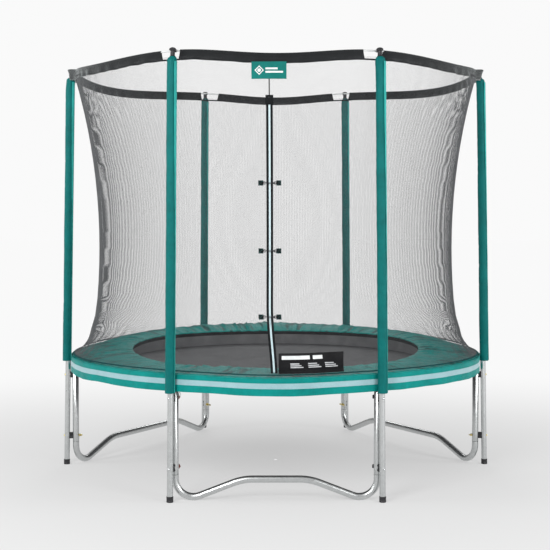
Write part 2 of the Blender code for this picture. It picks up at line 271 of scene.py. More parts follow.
def skin(rings, wrap=False, ring_wrap=True, caps=True, finish=0):
    """A skin over rings (n, k, 3). wrap joins the last ring to the first, ring_wrap joins each ring's ends.

    caps closes the first and the last ring.
    """
    rings = np.asarray(rings, float)
    n, k = rings.shape[:2]
    steps = np.arange(n if wrap else n - 1), np.arange(k if ring_wrap else k - 1)
    i, j = (index.ravel() for index in np.meshgrid(*steps, indexing="ij"))
    after_i, after_j = (i + 1) % n, (j + 1) % k
    faces = np.stack([i * k + j, i * k + after_j, after_i * k + after_j, after_i * k + j], axis=1)
    u, v = lengths(rings, ring_wrap), lengths(rings.transpose(1, 0, 2), wrap)
    corners = np.stack([np.stack([u[j], v[i]], 1), np.stack([u[j + 1], v[i]], 1),
                        np.stack([u[j + 1], v[i + 1]], 1), np.stack([u[j], v[i + 1]], 1)], axis=1)
    if ring_wrap:
        middle = rings[n // 2]
        spin = np.cross(middle - middle.mean(0), np.roll(middle, -1, 0) - middle).sum(0)
        onward = rings[(n // 2 + 1) % n].mean(0) - middle.mean(0)
        if spin @ onward < 0 and not wrap:
            faces, corners = faces[:, ::-1], corners[:, ::-1]
    faces, uvs = faces.tolist(), corners.tolist()
    if caps and ring_wrap and not wrap:
        first, last = list(range(k)), list(range((n - 1) * k, n * k))
        flat = [[0.001 * (index % 7), 0.001 * (index % 5)] for index in range(k)]
        turned_over = spin @ onward < 0
        faces += [first if turned_over else first[::-1], last[::-1] if turned_over else last]
        uvs += [flat, flat]
    return Shape(rings.reshape(-1, 3), faces, uvs, finish)


def outward_facing(shape):
    """Turns the faces over if the closed shape is inside out."""
    quads = np.array([face for face in shape.faces if len(face) == 4])
    a, b, c, d = (shape.verts[quads[:, corner]] for corner in range(4))
    volume = (a * (np.cross(b, c) + np.cross(c, d))).sum()
    if volume < 0:
        return Shape(shape.verts, [f[::-1] for f in shape.faces], [u[::-1] for u in shape.uvs], shape.finish)
    return shape


def sweep(route, section, normal, wrap=False, scale=None, caps=True, finish=0):
    """A section (k, 2) along a route (n, 3). Its first axis is the normal, its second lies across."""
    route = np.asarray(route, float)
    if wrap:
        tangent = np.roll(route, -1, 0) - np.roll(route, 1, 0)
    else:
        tangent = np.gradient(route, axis=0)
    tangent /= np.linalg.norm(tangent, axis=1)[:, None]
    normal = np.broadcast_to(np.asarray(normal, float), route.shape)
    normal = normal - (normal * tangent).sum(1)[:, None] * tangent
    normal /= np.linalg.norm(normal, axis=1)[:, None]
    across = np.cross(tangent, normal)
    section = np.asarray(section, float)
    scale = np.ones(len(route)) if scale is None else np.asarray(scale, float)
    offsets = section[None, :, :1] * normal[:, None] + section[None, :, 1:] * across[:, None]
    rings = route[:, None] + scale[:, None, None] * offsets
    return skin(rings, wrap=wrap, caps=caps, finish=finish)


def slab(front, back):
    """A closed thin panel from the rows of points on its two sides."""
    return skin(np.concatenate([np.array(front), np.array(back)[:, ::-1]], axis=1))


def closed_band(outline):
    """A band right round the part, from the closed outline's rings one after the other."""
    return skin(np.array(outline).transpose(1, 0, 2), wrap=True)


def turns_round(count):
    return np.arange(count) * 2.0 * math.pi / count


def degrees_round(count):
    return np.arange(count) * 360.0 / count


def apart_from(azimuth, other):
    """Degrees between two azimuths, the shorter way round."""
    return np.abs((azimuth - other + 180.0) % 360.0 - 180.0)


def circle(radius, sides):
    turns = turns_round(sides)
    return np.stack([radius * np.cos(turns), radius * np.sin(turns)], axis=1)


def rounded(width, height, radius, steps=3):
    """A rounded rectangle's outline, width along the first axis."""
    outline = []
    for corner in range(4):
        sign_x = (1, -1, -1, 1)[corner]
        sign_y = (1, 1, -1, -1)[corner]
        for step in range(steps + 1):
            turn = math.pi / 2 * (corner + step / steps)
            outline.append((sign_x * (width / 2 - radius) + radius * math.cos(turn),
                            sign_y * (height / 2 - radius) + radius * math.sin(turn)))
    return np.array(outline)


def turned(profile, sides=32):
    """A profile of (radius, height), bottom to top, turned about Z. Its ends are closed flat."""
    ring = circle(1.0, sides)
    rings = [np.stack([ring[:, 0] * r, ring[:, 1] * r, np.full(sides, h)], axis=1) for r, h in profile]
    return skin(rings)


def rounded_profile(radius, bottom, top, edge, steps=4):
    """The profile of a disc or cylinder with rounded edges."""
    turns = [math.pi / 2 * i / steps for i in range(steps + 1)]
    low = [(radius - edge + edge * math.sin(t), bottom + edge - edge * math.cos(t)) for t in turns]
    high = [(radius - edge + edge * math.cos(t), top - edge + edge * math.sin(t)) for t in turns]
    return [(radius * 0.02, bottom)] + low + high + [(radius * 0.02, top)]


def through(t, before, after, slope_before, slope_after):
    """A smooth curve from one point to the next, t from 0 to 1."""
    return ((1 + 2 * t) * (1 - t) ** 2 * before + t * (1 - t) ** 2 * slope_before
            + t * t * (3 - 2 * t) * after + t * t * (t - 1) * slope_after)


def smooth_line(points, count):
    """A smooth curve through a few points."""
    points = np.asarray(points, float)
    t = np.linspace(0, len(points) - 1, count)
    k = np.clip(t.astype(int), 0, len(points) - 2)
    slopes = np.gradient(points, axis=0)
    return through((t - k)[:, None], points[k], points[k + 1], slopes[k], slopes[k + 1])


def polar(azimuth, radius, height):
    azimuth, radius, height = np.broadcast_arrays(*(np.asarray(x, float) for x in (azimuth, radius, height)))
    turn = np.radians(azimuth)
    return np.stack([radius * np.sin(turn), -radius * np.cos(turn), height], axis=-1)


def waves(azimuth, counts, seed):
    """A smooth random curve round the circle, between about -1 and 1, made of that many whole waves."""
    draw = np.random.default_rng(seed)
    total = np.zeros(np.shape(azimuth))
    weight = 0.0
    for count in counts:
        size = draw.uniform(0.5, 1.0)
        total = total + size * np.cos(np.radians(azimuth) * count + draw.uniform(0.0, 2.0 * math.pi))
        weight += size * size / 2
    return total / math.sqrt(weight) / 2.0


def pole_radius(height):
    return POLE_FOOT_RADIUS + (POLE_HEAD_RADIUS - POLE_FOOT_RADIUS) * height / HEIGHT


def placed(azimuth, radius, height=0.0):
    """A change from local (outward, sideways, height) to this azimuth. radius may be a function of height."""
    turn = math.radians(azimuth)
    away = np.array([math.sin(turn), -math.cos(turn), 0.0])
    along = np.array([math.cos(turn), math.sin(turn), 0.0])

    def change(local):
        start = radius(local[:, 2:]) if callable(radius) else radius
        return (start + local[:, :1]) * away + local[:, 1:2] * along + (local[:, 2:] + height) * UP

    return change


def at_pole(azimuth):
    """The change to the leaning pole."""
    return placed(azimuth, pole_radius)


def at_upright(azimuth):
    """The change to the upright leg tube, which stands plumb."""
    return placed(azimuth, FRAME_RADIUS)


def rod_height(azimuth):
    ordered = sorted(STATIONS.values())
    stops = np.array([ordered[-1] - 360.0, *ordered, ordered[0] + 360.0])
    azimuth = (np.asarray(azimuth, float) + 180.0) % 360.0 - 180.0
    before = np.clip(np.searchsorted(stops, azimuth, side="right") - 1, 0, len(stops) - 2)
    share = (azimuth - stops[before]) / (stops[before + 1] - stops[before])
    sag = ROD_SAG + FRONT_SAG * (np.abs(azimuth) < STATIONS["front_right"])
    return ROD_HEIGHT - sag * np.sin(math.pi * share) ** 2


def net_profile(height):
    """The net's radius at a height: an arc above the flare, a curve through the flare's points below."""
    height = np.asarray(height, float)
    arc = WAIST_RADIUS + MERIDIAN - np.sqrt(MERIDIAN**2 - (height - WAIST_HEIGHT) ** 2)
    xs, ys = np.array(FLARE_HEIGHTS), np.array(FLARE_RADII)
    slopes = np.gradient(ys, xs)
    slopes[-1] = (FLARE_TOP - WAIST_HEIGHT) / math.sqrt(MERIDIAN**2 - (FLARE_TOP - WAIST_HEIGHT) ** 2)
    k = np.clip(np.searchsorted(xs, height, side="right") - 1, 0, len(xs) - 2)
    step = xs[k + 1] - xs[k]
    t = np.clip((height - xs[k]) / step, 0.0, 1.0)
    curve = through(t, ys[k], ys[k + 1], step * slopes[k], step * slopes[k + 1])
    return np.where(height >= FLARE_TOP, arc, curve)


def net_folds(azimuth, height):
    """Slack in the net: fine folds under the hem and at the flare, and faint ones between."""
    top = smoothstep((height - 2.02) / 0.28)
    foot = smoothstep((0.80 - height) / 0.10) * smoothstep((height - NET_BOTTOM) / 0.03)
    fine = waves(azimuth, range(38, 92, 3), 5)
    broad = waves(azimuth, range(9, 30), 6)
    return 0.0018 * fine * top + 0.0045 * fine * foot + 0.0010 * broad


def on_net(azimuth, height, standoff=0.0):
    """Points on the net, or away from it along its own normal."""
    height = np.asarray(height, float)
    slope = (net_profile(height + 0.001) - net_profile(height - 0.001)) / 0.002
    size = np.sqrt(1.0 + slope**2)
    radius = net_profile(height) + net_folds(azimuth, height) + standoff / size
    raised = rim_lift(azimuth) * (1.0 - smoothstep((height - NET_BOTTOM) / 0.30))
    return polar(azimuth, radius, height - standoff * slope / size + raised)


def net_normal(azimuth, height):
    near = on_net(azimuth, height, 0.0)
    return (on_net(azimuth, height, 0.01) - near) / 0.01


def door_azimuth(height):
    """The zip runs straight down and then swings a little to the side over the flare."""
    return DOOR_AZIMUTH + 1.35 * smoothstep((1.02 - np.asarray(height, float)) / 0.40)


def door_points(sideways, heights, standoff):
    heights = np.asarray(heights, float)
    azimuth = door_azimuth(heights) + np.degrees(sideways / net_profile(heights))
    return on_net(azimuth, heights, standoff)


# ---------------------------------------------------------------- materials

class Finish:
    """A Principled material whose colour, roughness and bump come from procedural nodes."""

    def __init__(self, name, **uniform):
        self.material = bpy.data.materials.new(name)
        self.material.use_nodes = True
        self.tree = self.material.node_tree
        self.shader = self.tree.nodes["Principled BSDF"]
        for socket, value in uniform.items():
            self.shader.inputs[socket.replace("_", " ")].default_value = value

    def node(self, kind, output=0, inputs=None, **settings):
        made = self.tree.nodes.new("ShaderNode" + kind)
        for setting, value in settings.items():
            setattr(made, setting, value)
        for socket, value in (inputs or {}).items():
            self.feed(made.inputs[socket], value)
        return made.outputs[output]

    def feed(self, socket, value):
        if isinstance(value, bpy.types.NodeSocket):
            self.tree.links.new(value, socket)
        else:
            socket.default_value = value

    def math(self, operation, *values):
        return self.node("Math", inputs=dict(enumerate(values)), operation=operation)

    def place(self):
        return self.node("TexCoord", output="Object")

    def cloth(self):
        return self.node("UVMap", uv_map="cloth")

    def cloth_axes(self):
        split = self.tree.nodes.new("ShaderNodeSeparateXYZ")
        self.feed(split.inputs[0], self.cloth())
        return split.outputs[0], split.outputs[1]

    def noise(self, scale, detail=3.0, vector=None, roughness=0.5):
        inputs = {"Vector": vector or self.place(), "Scale": scale, "Detail": detail, "Roughness": roughness}
        return self.node("TexNoise", output="Fac", inputs=inputs)

    def between(self, factor, low, high, start=0.0, stop=1.0, **settings):
        """A number between low and high as the factor goes from start to stop."""
        inputs = {"Value": factor, "From Min": start, "From Max": stop, "To Min": low, "To Max": high}
        return self.node("MapRange", inputs=inputs, **settings)

    def weighted(self, first, first_weight, second, second_weight):
        first = self.math("MULTIPLY", first, first_weight)
        return self.math("ADD", first, self.math("MULTIPLY", second, second_weight))

    def mixed(self, factor, first, second):
        return self.node("Mix", output=2, inputs={0: factor, 6: first, 7: second}, data_type="RGBA")

    def ramp(self, factor, stops):
        made = self.tree.nodes.new("ShaderNodeValToRGB")
        self.feed(made.inputs[0], factor)
        elements = made.color_ramp.elements
        while len(elements) < len(stops):
            elements.new(0.5)
        for element, (position, colour) in zip(elements, stops):
            element.position = position
            element.color = (*colour, 1.0)
        return made.outputs[0]

    def colour(self, value):
        self.feed(self.shader.inputs["Base Color"], value)

    def roughness(self, value):
        self.feed(self.shader.inputs["Roughness"], value)

    def bump(self, height, strength, distance):
        made = self.node("Bump", inputs={"Height": height, "Strength": strength, "Distance": distance})
        self.feed(self.shader.inputs["Normal"], made)

    def weave(self, pitch):
        """Plain weave: the height, 0 to 1, of whichever thread is on top."""
        u, v = (self.math("SINE", self.math("MULTIPLY", axis, math.pi / pitch)) for axis in self.cloth_axes())
        over = self.math("GREATER_THAN", self.math("MULTIPLY", u, v), 0.0)
        under = self.math("SUBTRACT", 1.0, over)
        return self.weighted(self.math("ABSOLUTE", u), over, self.math("ABSOLUTE", v), under)


def shade(colour, factor):
    return tuple(min(1.0, c * factor) for c in colour)


def rgba(colour):
    return (*colour, 1.0)


def steel(name, colour, dull=0.30, spangle=95.0):
    finish = Finish(name, Metallic=1.0)
    cells = finish.node("TexVoronoi", output="Color", inputs={"Vector": finish.place(), "Scale": spangle})
    grain = finish.node("SeparateColor", inputs={0: cells})
    cloud = finish.noise(9.0, 4.0)
    tone = finish.weighted(grain, 0.45, cloud, 0.55)
    stops = [(0.2, shade(colour, 0.93)), (0.55, colour), (0.85, shade(colour, 1.05))]
    finish.colour(finish.ramp(tone, stops))
    finish.roughness(finish.between(tone, dull - 0.05, dull + 0.07))
    finish.bump(finish.noise(420.0, 2.0), 0.05, 0.0004)
    return finish.material


def moulded(name, colour, gloss=0.42):
    finish = Finish(name, Specular_IOR_Level=0.3)
    cloud = finish.noise(35.0, 4.0)
    finish.colour(finish.mixed(cloud, rgba(shade(colour, 0.75)), rgba(shade(colour, 1.5))))
    finish.roughness(finish.between(cloud, gloss - 0.08, gloss + 0.14))
    finish.bump(finish.noise(1400.0, 2.0), 0.18, 0.0004)
    return finish.material


def coated(name, colour, gloss, crease_bump_and_shade=False):
    """Coated fabric: a faint weave under a soft gloss, mottled and creased. The last switch adds long creases
    to the bump and paints shade into them, darkening the colour in their hollows.
    """
    finish = Finish(name, Specular_IOR_Level=0.10)
    height = finish.weave(0.0012)
    cloud = finish.noise(7.0, 5.0)
    crease = finish.noise(26.0, 6.0, roughness=0.62)
    tone = finish.weighted(cloud, 0.5, crease, 0.5)
    tone = finish.math("ADD", tone, finish.math("MULTIPLY", height, 0.06))
    surface = finish.ramp(tone, [(0.30, shade(colour, 0.72)), (0.5, colour), (0.72, shade(colour, 1.25))])
    relief = finish.math("ADD", finish.math("MULTIPLY", height, 0.10), crease)
    if crease_bump_and_shade:
        drawn_out = {0: finish.cloth(), 1: (3.4, 15.0, 1.0)}
        along = finish.node("VectorMath", inputs=drawn_out, operation="MULTIPLY")
        streak = finish.noise(1.0, 4.0, vector=along, roughness=0.6)
        crest = finish.between(streak, 0.0, 1.0, 0.36, 0.50, interpolation_type="SMOOTHSTEP")
        # Painted shade: the colour drops to a third in the hollows between the long creases, and the same
        # mask raises the crests in the bump below.
        surface = finish.mixed(crest, rgba(shade(colour, 0.34)), surface)
        relief = finish.math("ADD", relief, finish.math("MULTIPLY", crest, 1.2))
    finish.colour(surface)
    finish.roughness(finish.between(crease, gloss - 0.08, gloss + 0.12))
    finish.bump(relief, 0.6, 0.0032)
    return finish.material


def woven(name, colour, pitch, gloss=0.7, contrast=0.45, sheen=0.0):
    """Webbing or woven sheet with visible threads."""
    finish = Finish(name, Sheen_Weight=sheen, Sheen_Roughness=0.35, Specular_IOR_Level=0.12)
    finish.shader.inputs["Sheen Tint"].default_value = (0.9, 0.95, 0.95, 1.0)
    height = finish.weave(pitch)
    cloud = finish.noise(12.0, 4.0)
    tone = finish.weighted(height, contrast, cloud, 1.0 - contrast)
    finish.colour(finish.ramp(tone, [(0.2, shade(colour, 0.6)), (0.55, colour), (0.9, shade(colour, 1.55))]))
    finish.roughness(finish.between(cloud, gloss - 0.08, gloss + 0.1))
    finish.bump(height, 0.5, pitch * 0.35)
    return finish.material


def net_cloth(name):
    """Knitted mesh: dark wavy yarn across it, with holes. Separate threads run down."""
    finish = Finish(name, Roughness=0.8)
    across, down = (finish.math("MULTIPLY", axis, math.pi / 0.0050) for axis in finish.cloth_axes())
    bow = finish.math("MULTIPLY", finish.math("COSINE", finish.math("MULTIPLY", across, 2.0)), 0.35)
    yarn = finish.math("ABSOLUTE", finish.math("SINE", finish.math("ADD", down, bow)))
    knots = finish.math("ABSOLUTE", finish.math("SINE", across))
    line = finish.math("LESS_THAN", yarn, finish.math("ADD", 0.050, finish.math("MULTIPLY", knots, -0.02)))
    finish.feed(finish.shader.inputs["Alpha"], finish.between(line, 0.030, 0.7))
    finish.colour(finish.mixed(finish.noise(60.0), rgba((0.07, 0.072, 0.076)), rgba((0.13, 0.132, 0.138))))
    return finish.material


def stripe_cloth(name):
    """Pale reflective tape with fine cells."""
    finish = Finish(name, Sheen_Weight=0.1)
    cells = finish.node("TexVoronoi", output="Distance", inputs={"Vector": finish.cloth(), "Scale": 420.0})
    cloud = finish.noise(14.0, 4.0)
    tone = finish.weighted(cells, 0.5, cloud, 0.6)
    stops = [(0.2, (0.20, 0.34, 0.37)), (0.6, (0.25, 0.41, 0.44)), (0.9, (0.31, 0.48, 0.51))]
    finish.colour(finish.ramp(tone, stops))
    finish.roughness(finish.between(cloud, 0.32, 0.5))
    finish.bump(cells, 0.25, 0.0008)
    return finish.material


def zip_teeth(name):
    """Moulded coil: cross ribs 1.6 mm apart with a dark slot between the two rows."""
    finish = Finish(name)
    along = finish.math("MULTIPLY", finish.cloth_axes()[1], math.pi / 0.0032)
    rib = finish.math("ABSOLUTE", finish.math("SINE", along))
    cloud = finish.noise(50.0)
    tone = finish.weighted(rib, 0.75, cloud, 0.25)
    stops = [(0.1, (0.24, 0.34, 0.37)), (0.45, (0.46, 0.60, 0.64)), (0.8, (0.60, 0.74, 0.78))]
    finish.colour(finish.ramp(tone, stops))
    finish.roughness(finish.between(cloud, 0.3, 0.5))
    finish.bump(rib, 0.5, 0.0008)
    return finish.material


def floor_finish(name):
    """Pale studio floor that brightens into the white background."""
    finish = Finish(name, Emission_Color=(1.0, 1.0, 1.0, 1.0), Specular_IOR_Level=0.0)
    ends = {0: finish.place(), 1: (0.0, -1.2, 0.0)}
    away = finish.node("VectorMath", output=1, inputs=ends, operation="DISTANCE")
    far = finish.between(away, 0.0, 1.0, 1.5, 6.0, interpolation_type="SMOOTHSTEP")
    finish.colour(finish.mixed(far, rgba((0.30, 0.30, 0.30)), rgba((0.008, 0.008, 0.008))))
    finish.feed(finish.shader.inputs["Emission Strength"], finish.between(far, 0.455, 0.945))
    finish.roughness(finish.between(finish.noise(0.6), 0.75, 0.9))
    return finish.material


def make_finishes():
    return {
        "galvanised": steel("galvanised steel", (0.57, 0.585, 0.585)),
        "spring": steel("zinc plated spring wire", (0.66, 0.67, 0.68), 0.24, 240.0),
        "yellow zinc": steel("yellow zinc bolt", (0.72, 0.60, 0.26), 0.28, 300.0),
        "plastic": moulded("black moulded plastic", (0.018, 0.018, 0.020)),
        "knob": moulded("oxide red plastic", (0.16, 0.035, 0.022), 0.38),
        "hardware": moulded("black lacquered metal", (0.014, 0.014, 0.016), 0.28),
        "sleeve": coated("teal sleeve fabric", (0.001, 0.112, 0.107), 0.42),
        # The sleeves' lapped edges are a lighter teal as a painted highlight.
        "seam": coated("teal sleeve edge painted highlight", (0.03, 0.34, 0.31), 0.46),
        # The cover's teal has painted shade along its long creases.
        "vinyl": coated("teal coated cover", (0.001, 0.195, 0.176), 0.40, crease_bump_and_shade=True),
        "skirt": coated("teal skirt band", (0.001, 0.200, 0.180), 0.40),
        # The black backing also covers the lower half of the cover's inner lip, as painted shade of the gap
        # above the mat.
        "underside_and_edge_shade": woven("black cover backing and painted edge shade", (0.016, 0.016, 0.018), 0.002),
        "stripe": stripe_cloth("pale reflective tape"),
        "mat": woven("woven jumping fabric", (0.105, 0.106, 0.110), 0.0034, 0.62, 0.35),
        "webbing": woven("black webbing", (0.007, 0.008, 0.009), 0.0022, 0.72, 0.5),
        "binding": woven("dark teal binding", (0.004, 0.050, 0.052), 0.0022, 0.7, 0.5),
        "hem": woven("hem fabric", (0.011, 0.012, 0.013), 0.0016, 0.7, 0.35, sheen=0.7),
        "net": net_cloth("knitted net"),
        "yarn": woven("net yarn", (0.105, 0.108, 0.112), 0.0011, 0.8, 0.4),
        "teeth": zip_teeth("pale zip coil"),
        "rod": moulded("white fibreglass", (0.50, 0.51, 0.51), 0.34),
        "tag": coated("teal tag", (0.002, 0.125, 0.108), 0.45),
        "print": moulded("white print", (0.58, 0.60, 0.60), 0.5),
        "label": coated("black label", (0.010, 0.010, 0.011), 0.4),
        "grey print": moulded("grey print", (0.42, 0.43, 0.44), 0.5),
        "thread": woven("sewing thread", (0.10, 0.30, 0.28), 0.0009, 0.6),
        "pale elastic": woven("pale elastic", (0.62, 0.62, 0.60), 0.0012, 0.7),
    }


FINISHES = {}


def piece(name, shape, finishes, body="frame", replaces=(), closed=False, sharp=50.0):
    """Adds the shape as one visible piece that rides on a body. body None leaves it free for a blend."""
    if closed:
        shape = outward_facing(shape)
    mesh = bpy.data.meshes.new(name)
    mesh.from_pydata(shape.verts.tolist(), [], shape.faces)
    mesh.validate(clean_customdata=False)
    layer = mesh.uv_layers.new(name="cloth")
    flat = np.array([corner for face in shape.uvs for corner in face], np.float32)
    layer.data.foreach_set("uv", flat.ravel())
    for finish in finishes:
        mesh.materials.append(FINISHES[finish])
    mesh.polygons.foreach_set("material_index", shape.finish)
    mesh.shade_smooth()
    mesh.set_sharp_from_angle(angle=math.radians(sharp))
    obj = bpy.data.objects.new(name, mesh)
    bpy.context.scene.collection.objects.link(obj)
    if body:
        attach(obj, body)
    if replaces:
        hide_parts(*replaces)
    return obj


# ---------------------------------------------------------------- steel frame

def level_loop(radius, height, sides):
    """A circle round the local Z axis."""
    return np.concatenate([circle(radius, sides), np.full((sides, 1), height)], axis=1)


def weld_bead(radius, height):
    """A rippled ring of weld metal round a vertical tube."""
    wobble = 1.0 + 0.18 * np.cos(turns_round(104) * 26)
    return sweep(level_loop(radius, height, 104), circle(0.0026, 8), UP, wrap=True, scale=wobble)


def make_ring():
    """Six curved tubes. One end of each is swaged down and goes into the widened end of the next."""
    ordered = sorted(STATIONS.items(), key=lambda item: item[1])
    for index, (station, azimuth) in enumerate(ordered):
        before = ordered[index - 1][1] - (360.0 if index == 0 else 0.0)
        after = ordered[(index + 1) % len(ordered)][1] + (360.0 if index == len(ordered) - 1 else 0.0)
        start, end = (before + azimuth) / 2, (azimuth + after) / 2
        turns = np.linspace(start, end, 61)
        insert = end + np.array([0.02, 1.2])
        socket = start + np.array([0.0, 1.9, 2.05])
        turns = np.concatenate([socket, turns[2:-1], [end - 0.05, end - 0.02], insert])
        scale = np.ones(len(turns))
        scale[:2] = 1.035
        scale[-2:] = 0.93
        tube = sweep(polar(turns, FRAME_RADIUS, RING_HEIGHT), circle(FRAME_TUBE, 28), UP, scale=scale)
        stub = turned([(STUB_RADIUS, BASE_TOP + 0.42), (STUB_RADIUS, RING_HEIGHT - 0.004)], 28)
        stub = stub.moved(at_upright(azimuth))
        bead = weld_bead(STUB_RADIUS + 0.0018, RING_HEIGHT - FRAME_TUBE + 0.0035).moved(at_upright(azimuth))
        piece(f"ring_tube_{station}", joined([tube, stub, bead]), ["galvanised"],
              replaces=[f"ring_section_{station}"])


def make_uprights():
    for station, azimuth in STATIONS.items():
        top = RING_HEIGHT - FRAME_TUBE - 0.0022
        bottom = BASE_TOP + 0.0004
        edge = 0.0009
        profile = [(STUB_RADIUS + 0.0002, bottom + 0.006), (STUB_RADIUS + 0.0002, bottom),
                   (FRAME_TUBE - edge, bottom), (FRAME_TUBE, bottom + edge), (FRAME_TUBE, bottom + 0.05),
                   (FRAME_TUBE, top - edge), (FRAME_TUBE - edge, top), (STUB_RADIUS + 0.0002, top),
                   (STUB_RADIUS + 0.0002, top - 0.006)]
        dimple = turned(rounded_profile(0.0032, -0.0006, 0.0007, 0.0006), 16)
        spot = dimple.moved(Matrix.Translation((-FRAME_TUBE, 0.0, BASE_TOP + 0.02)) @ QUARTER_TURN)
        shape = joined([turned(profile, 36), spot]).moved(at_upright(azimuth))
        piece(f"upright_tube_{station}", shape, ["galvanised"],
              replaces=[f"leg_upright_{station}"])


def bend(centre, radius, start, end, steps):
    turns = [start + (end - start) * i / steps for i in range(steps + 1)]
    return [(centre[0] + radius * math.cos(a), centre[1] + radius * math.sin(a)) for a in turns]


def base_route(span):
    """The W of a leg's base in its own plane, as (along, height), from one spigot to the other."""
    foot = (FOOT_BEND, FRAME_TUBE + FOOT_BEND)
    lowest = -math.pi / 2
    route = [(0.0, BASE_TOP + SPIGOT), (0.0, BASE_TOP + 0.0002), (0.0, BASE_TOP - 0.0010)]
    route += bend(foot, FOOT_BEND, -math.pi, lowest + LEG_SLOPE, 22)
    end_of_foot = route[-1]
    crest = PLATEAU_HEIGHT - PLATEAU_BEND
    rise = crest + PLATEAU_BEND * math.cos(LEG_SLOPE) - end_of_foot[1]
    start_of_crest = end_of_foot[0] + rise / math.tan(LEG_SLOPE)
    middle = (start_of_crest + PLATEAU_BEND * math.sin(LEG_SLOPE), crest)
    route += bend(middle, PLATEAU_BEND, math.pi / 2 + LEG_SLOPE, math.pi / 2, 12)
    return route + [(span - along, height) for along, height in reversed(route)]


def make_bases():
    for leg, (first, second) in LEGS.items():
        start = polar(STATIONS[first], FRAME_RADIUS, 0.0)
        along = polar(STATIONS[second], FRAME_RADIUS, 0.0) - start
        span = np.linalg.norm(along)
        along = along / span
        route = np.array([start + along * s + (0.0, 0.0, h) for s, h in base_route(span)])
        scale = np.ones(len(route))
        scale[:2] = scale[-2:] = (STUB_RADIUS - 0.0004) / FRAME_TUBE
        normal = np.cross(along, UP)
        tube = sweep(route, circle(FRAME_TUBE, 36), normal, scale=scale)
        piece(f"base_tube_{leg}", tube, ["galvanised"], replaces=[f"leg_base_{leg}"])


# ---------------------------------------------------------------- poles, caps and clamps

def make_poles():
    for station, azimuth in STATIONS.items():
        edge = 0.0008
        profile = [(POLE_TUBE - 0.0015, 0.010), (POLE_TUBE - 0.0015, 0.0045), (POLE_TUBE, 0.0045)]
        profile += [(POLE_TUBE, h) for h in np.linspace(0.05, POLE_TOP - 0.02, 24)]
        profile += [(POLE_TUBE, POLE_TOP - edge), (POLE_TUBE - edge, POLE_TOP), (POLE_TUBE - 0.002, POLE_TOP)]
        piece(f"pole_tube_{station}", turned(profile, 36).moved(at_pole(azimuth)), ["galvanised"],
              replaces=[f"enclosure_pole_{station}"])


def foot_cap():
    """A ribbed cup with a thicker sole."""
    sides = 72
    turns = turns_round(sides)
    rib = 0.0005 * (np.cos(turns * 12) > 0.2)
    rings = []
    for radius, height, ribbed in ((0.004, 0.0, 0), (FOOT_CAP_RADIUS - 0.002, 0.0, 0),
                                   (FOOT_CAP_RADIUS - 0.0004, 0.0014, 0), (FOOT_CAP_RADIUS, 0.0035, 0),
                                   (FOOT_CAP_RADIUS, 0.0055, 0), (FOOT_CAP_RADIUS - 0.0009, 0.0062, 1),
                                   (FOOT_CAP_RADIUS - 0.0009, 0.0268, 1), (FOOT_CAP_RADIUS, 0.0275, 0),
                                   (FOOT_CAP_RADIUS, FOOT_CAP_HEIGHT - 0.0009, 0),
                                   (FOOT_CAP_RADIUS - 0.0009, FOOT_CAP_HEIGHT, 0),
                                   (POLE_TUBE + 0.0002, FOOT_CAP_HEIGHT, 0), (POLE_TUBE + 0.0002, 0.0290, 0)):
        reach = radius + rib * ribbed
        rings.append(np.stack([reach * np.cos(turns), reach * np.sin(turns), np.full(sides, height)], axis=1))
    return skin(rings)


def head_cap():
    """Flange, neck and mushroom head, with a C-shaped clip that holds the rod on the inner side."""
    crown = [(HEAD_RADIUS * math.cos(t), 2.3606 + (HEIGHT - 2.3606) * math.sin(t))
             for t in np.linspace(0.0, 1.5, 9)]
    under = [(HEAD_RADIUS * math.cos(t), 2.3606 - 0.0085 * math.sin(t)) for t in np.linspace(0.9, 0.1, 5)]
    profile = [(0.013, 2.3166), (POLE_TUBE - 0.0006, 2.3166), (POLE_TUBE, 2.3176), (POLE_TUBE, 2.3194),
               (POLE_TUBE - 0.001, 2.3204), (NECK_RADIUS + 0.001, 2.3206), (NECK_RADIUS, 2.3225),
               (NECK_RADIUS, 2.3495)] + under + crown + [(0.0008, HEIGHT)]
    turns = np.linspace(math.radians(-150.0), math.radians(150.0), 21)
    rod_x = ROD_RING_RADIUS - float(pole_radius(ROD_HEIGHT))
    grip = 0.0064
    ring = np.stack([rod_x + grip * np.cos(turns), np.zeros(21), ROD_HEIGHT + grip * np.sin(turns)], axis=1)
    clip = sweep(ring, rounded(0.012, 0.0026, 0.0008), ACROSS)
    arm_route = [(rod_x + 0.0060, 0.0, ROD_HEIGHT - 0.001), (-0.010, 0.0, ROD_HEIGHT - 0.003)]
    arm = sweep(arm_route, rounded(0.010, 0.005, 0.001), ACROSS)
    return joined([turned(profile, 36), clip, arm])


def make_caps():
    foot, head = foot_cap(), head_cap()
    for station, azimuth in STATIONS.items():
        piece(f"foot_cap_{station}", foot.moved(at_pole(azimuth)), ["plastic"],
              replaces=[f"pole_foot_cap_{station}"])
        piece(f"head_cap_{station}", head.moved(at_pole(azimuth)), ["plastic"],
              replaces=[f"pole_top_cap_{station}"])


def spacer_block(height):
    """A block hollowed to both tubes, with rounded ends and a waist round the bolt."""
    middle = float(pole_radius(height)) - FRAME_RADIUS
    rings = []
    levels = [(-1.0, 0.90), (-0.96, 0.97), (-0.88, 1.0), (-0.5, 1.0), (-0.34, 0.86), (0.0, 0.80),
              (0.34, 0.86), (0.5, 1.0), (0.88, 1.0), (0.96, 0.97), (1.0, 0.90)]
    for level, fullness in levels:
        half = SPACER_HALF_WIDTH * fullness
        near = np.linspace(-half, half, 9)
        inner = np.sqrt((FRAME_TUBE + 0.0003) ** 2 - near**2)
        outer = middle - np.sqrt((POLE_TUBE + 0.0006) ** 2 - near[::-1] ** 2)
        outline = np.concatenate([np.stack([inner, near], 1), np.stack([outer, near[::-1]], 1)])
        z = np.full((len(outline), 1), height + level * SPACER_LENGTH / 2)
        rings.append(np.concatenate([outline, z], axis=1))
    return skin(rings)


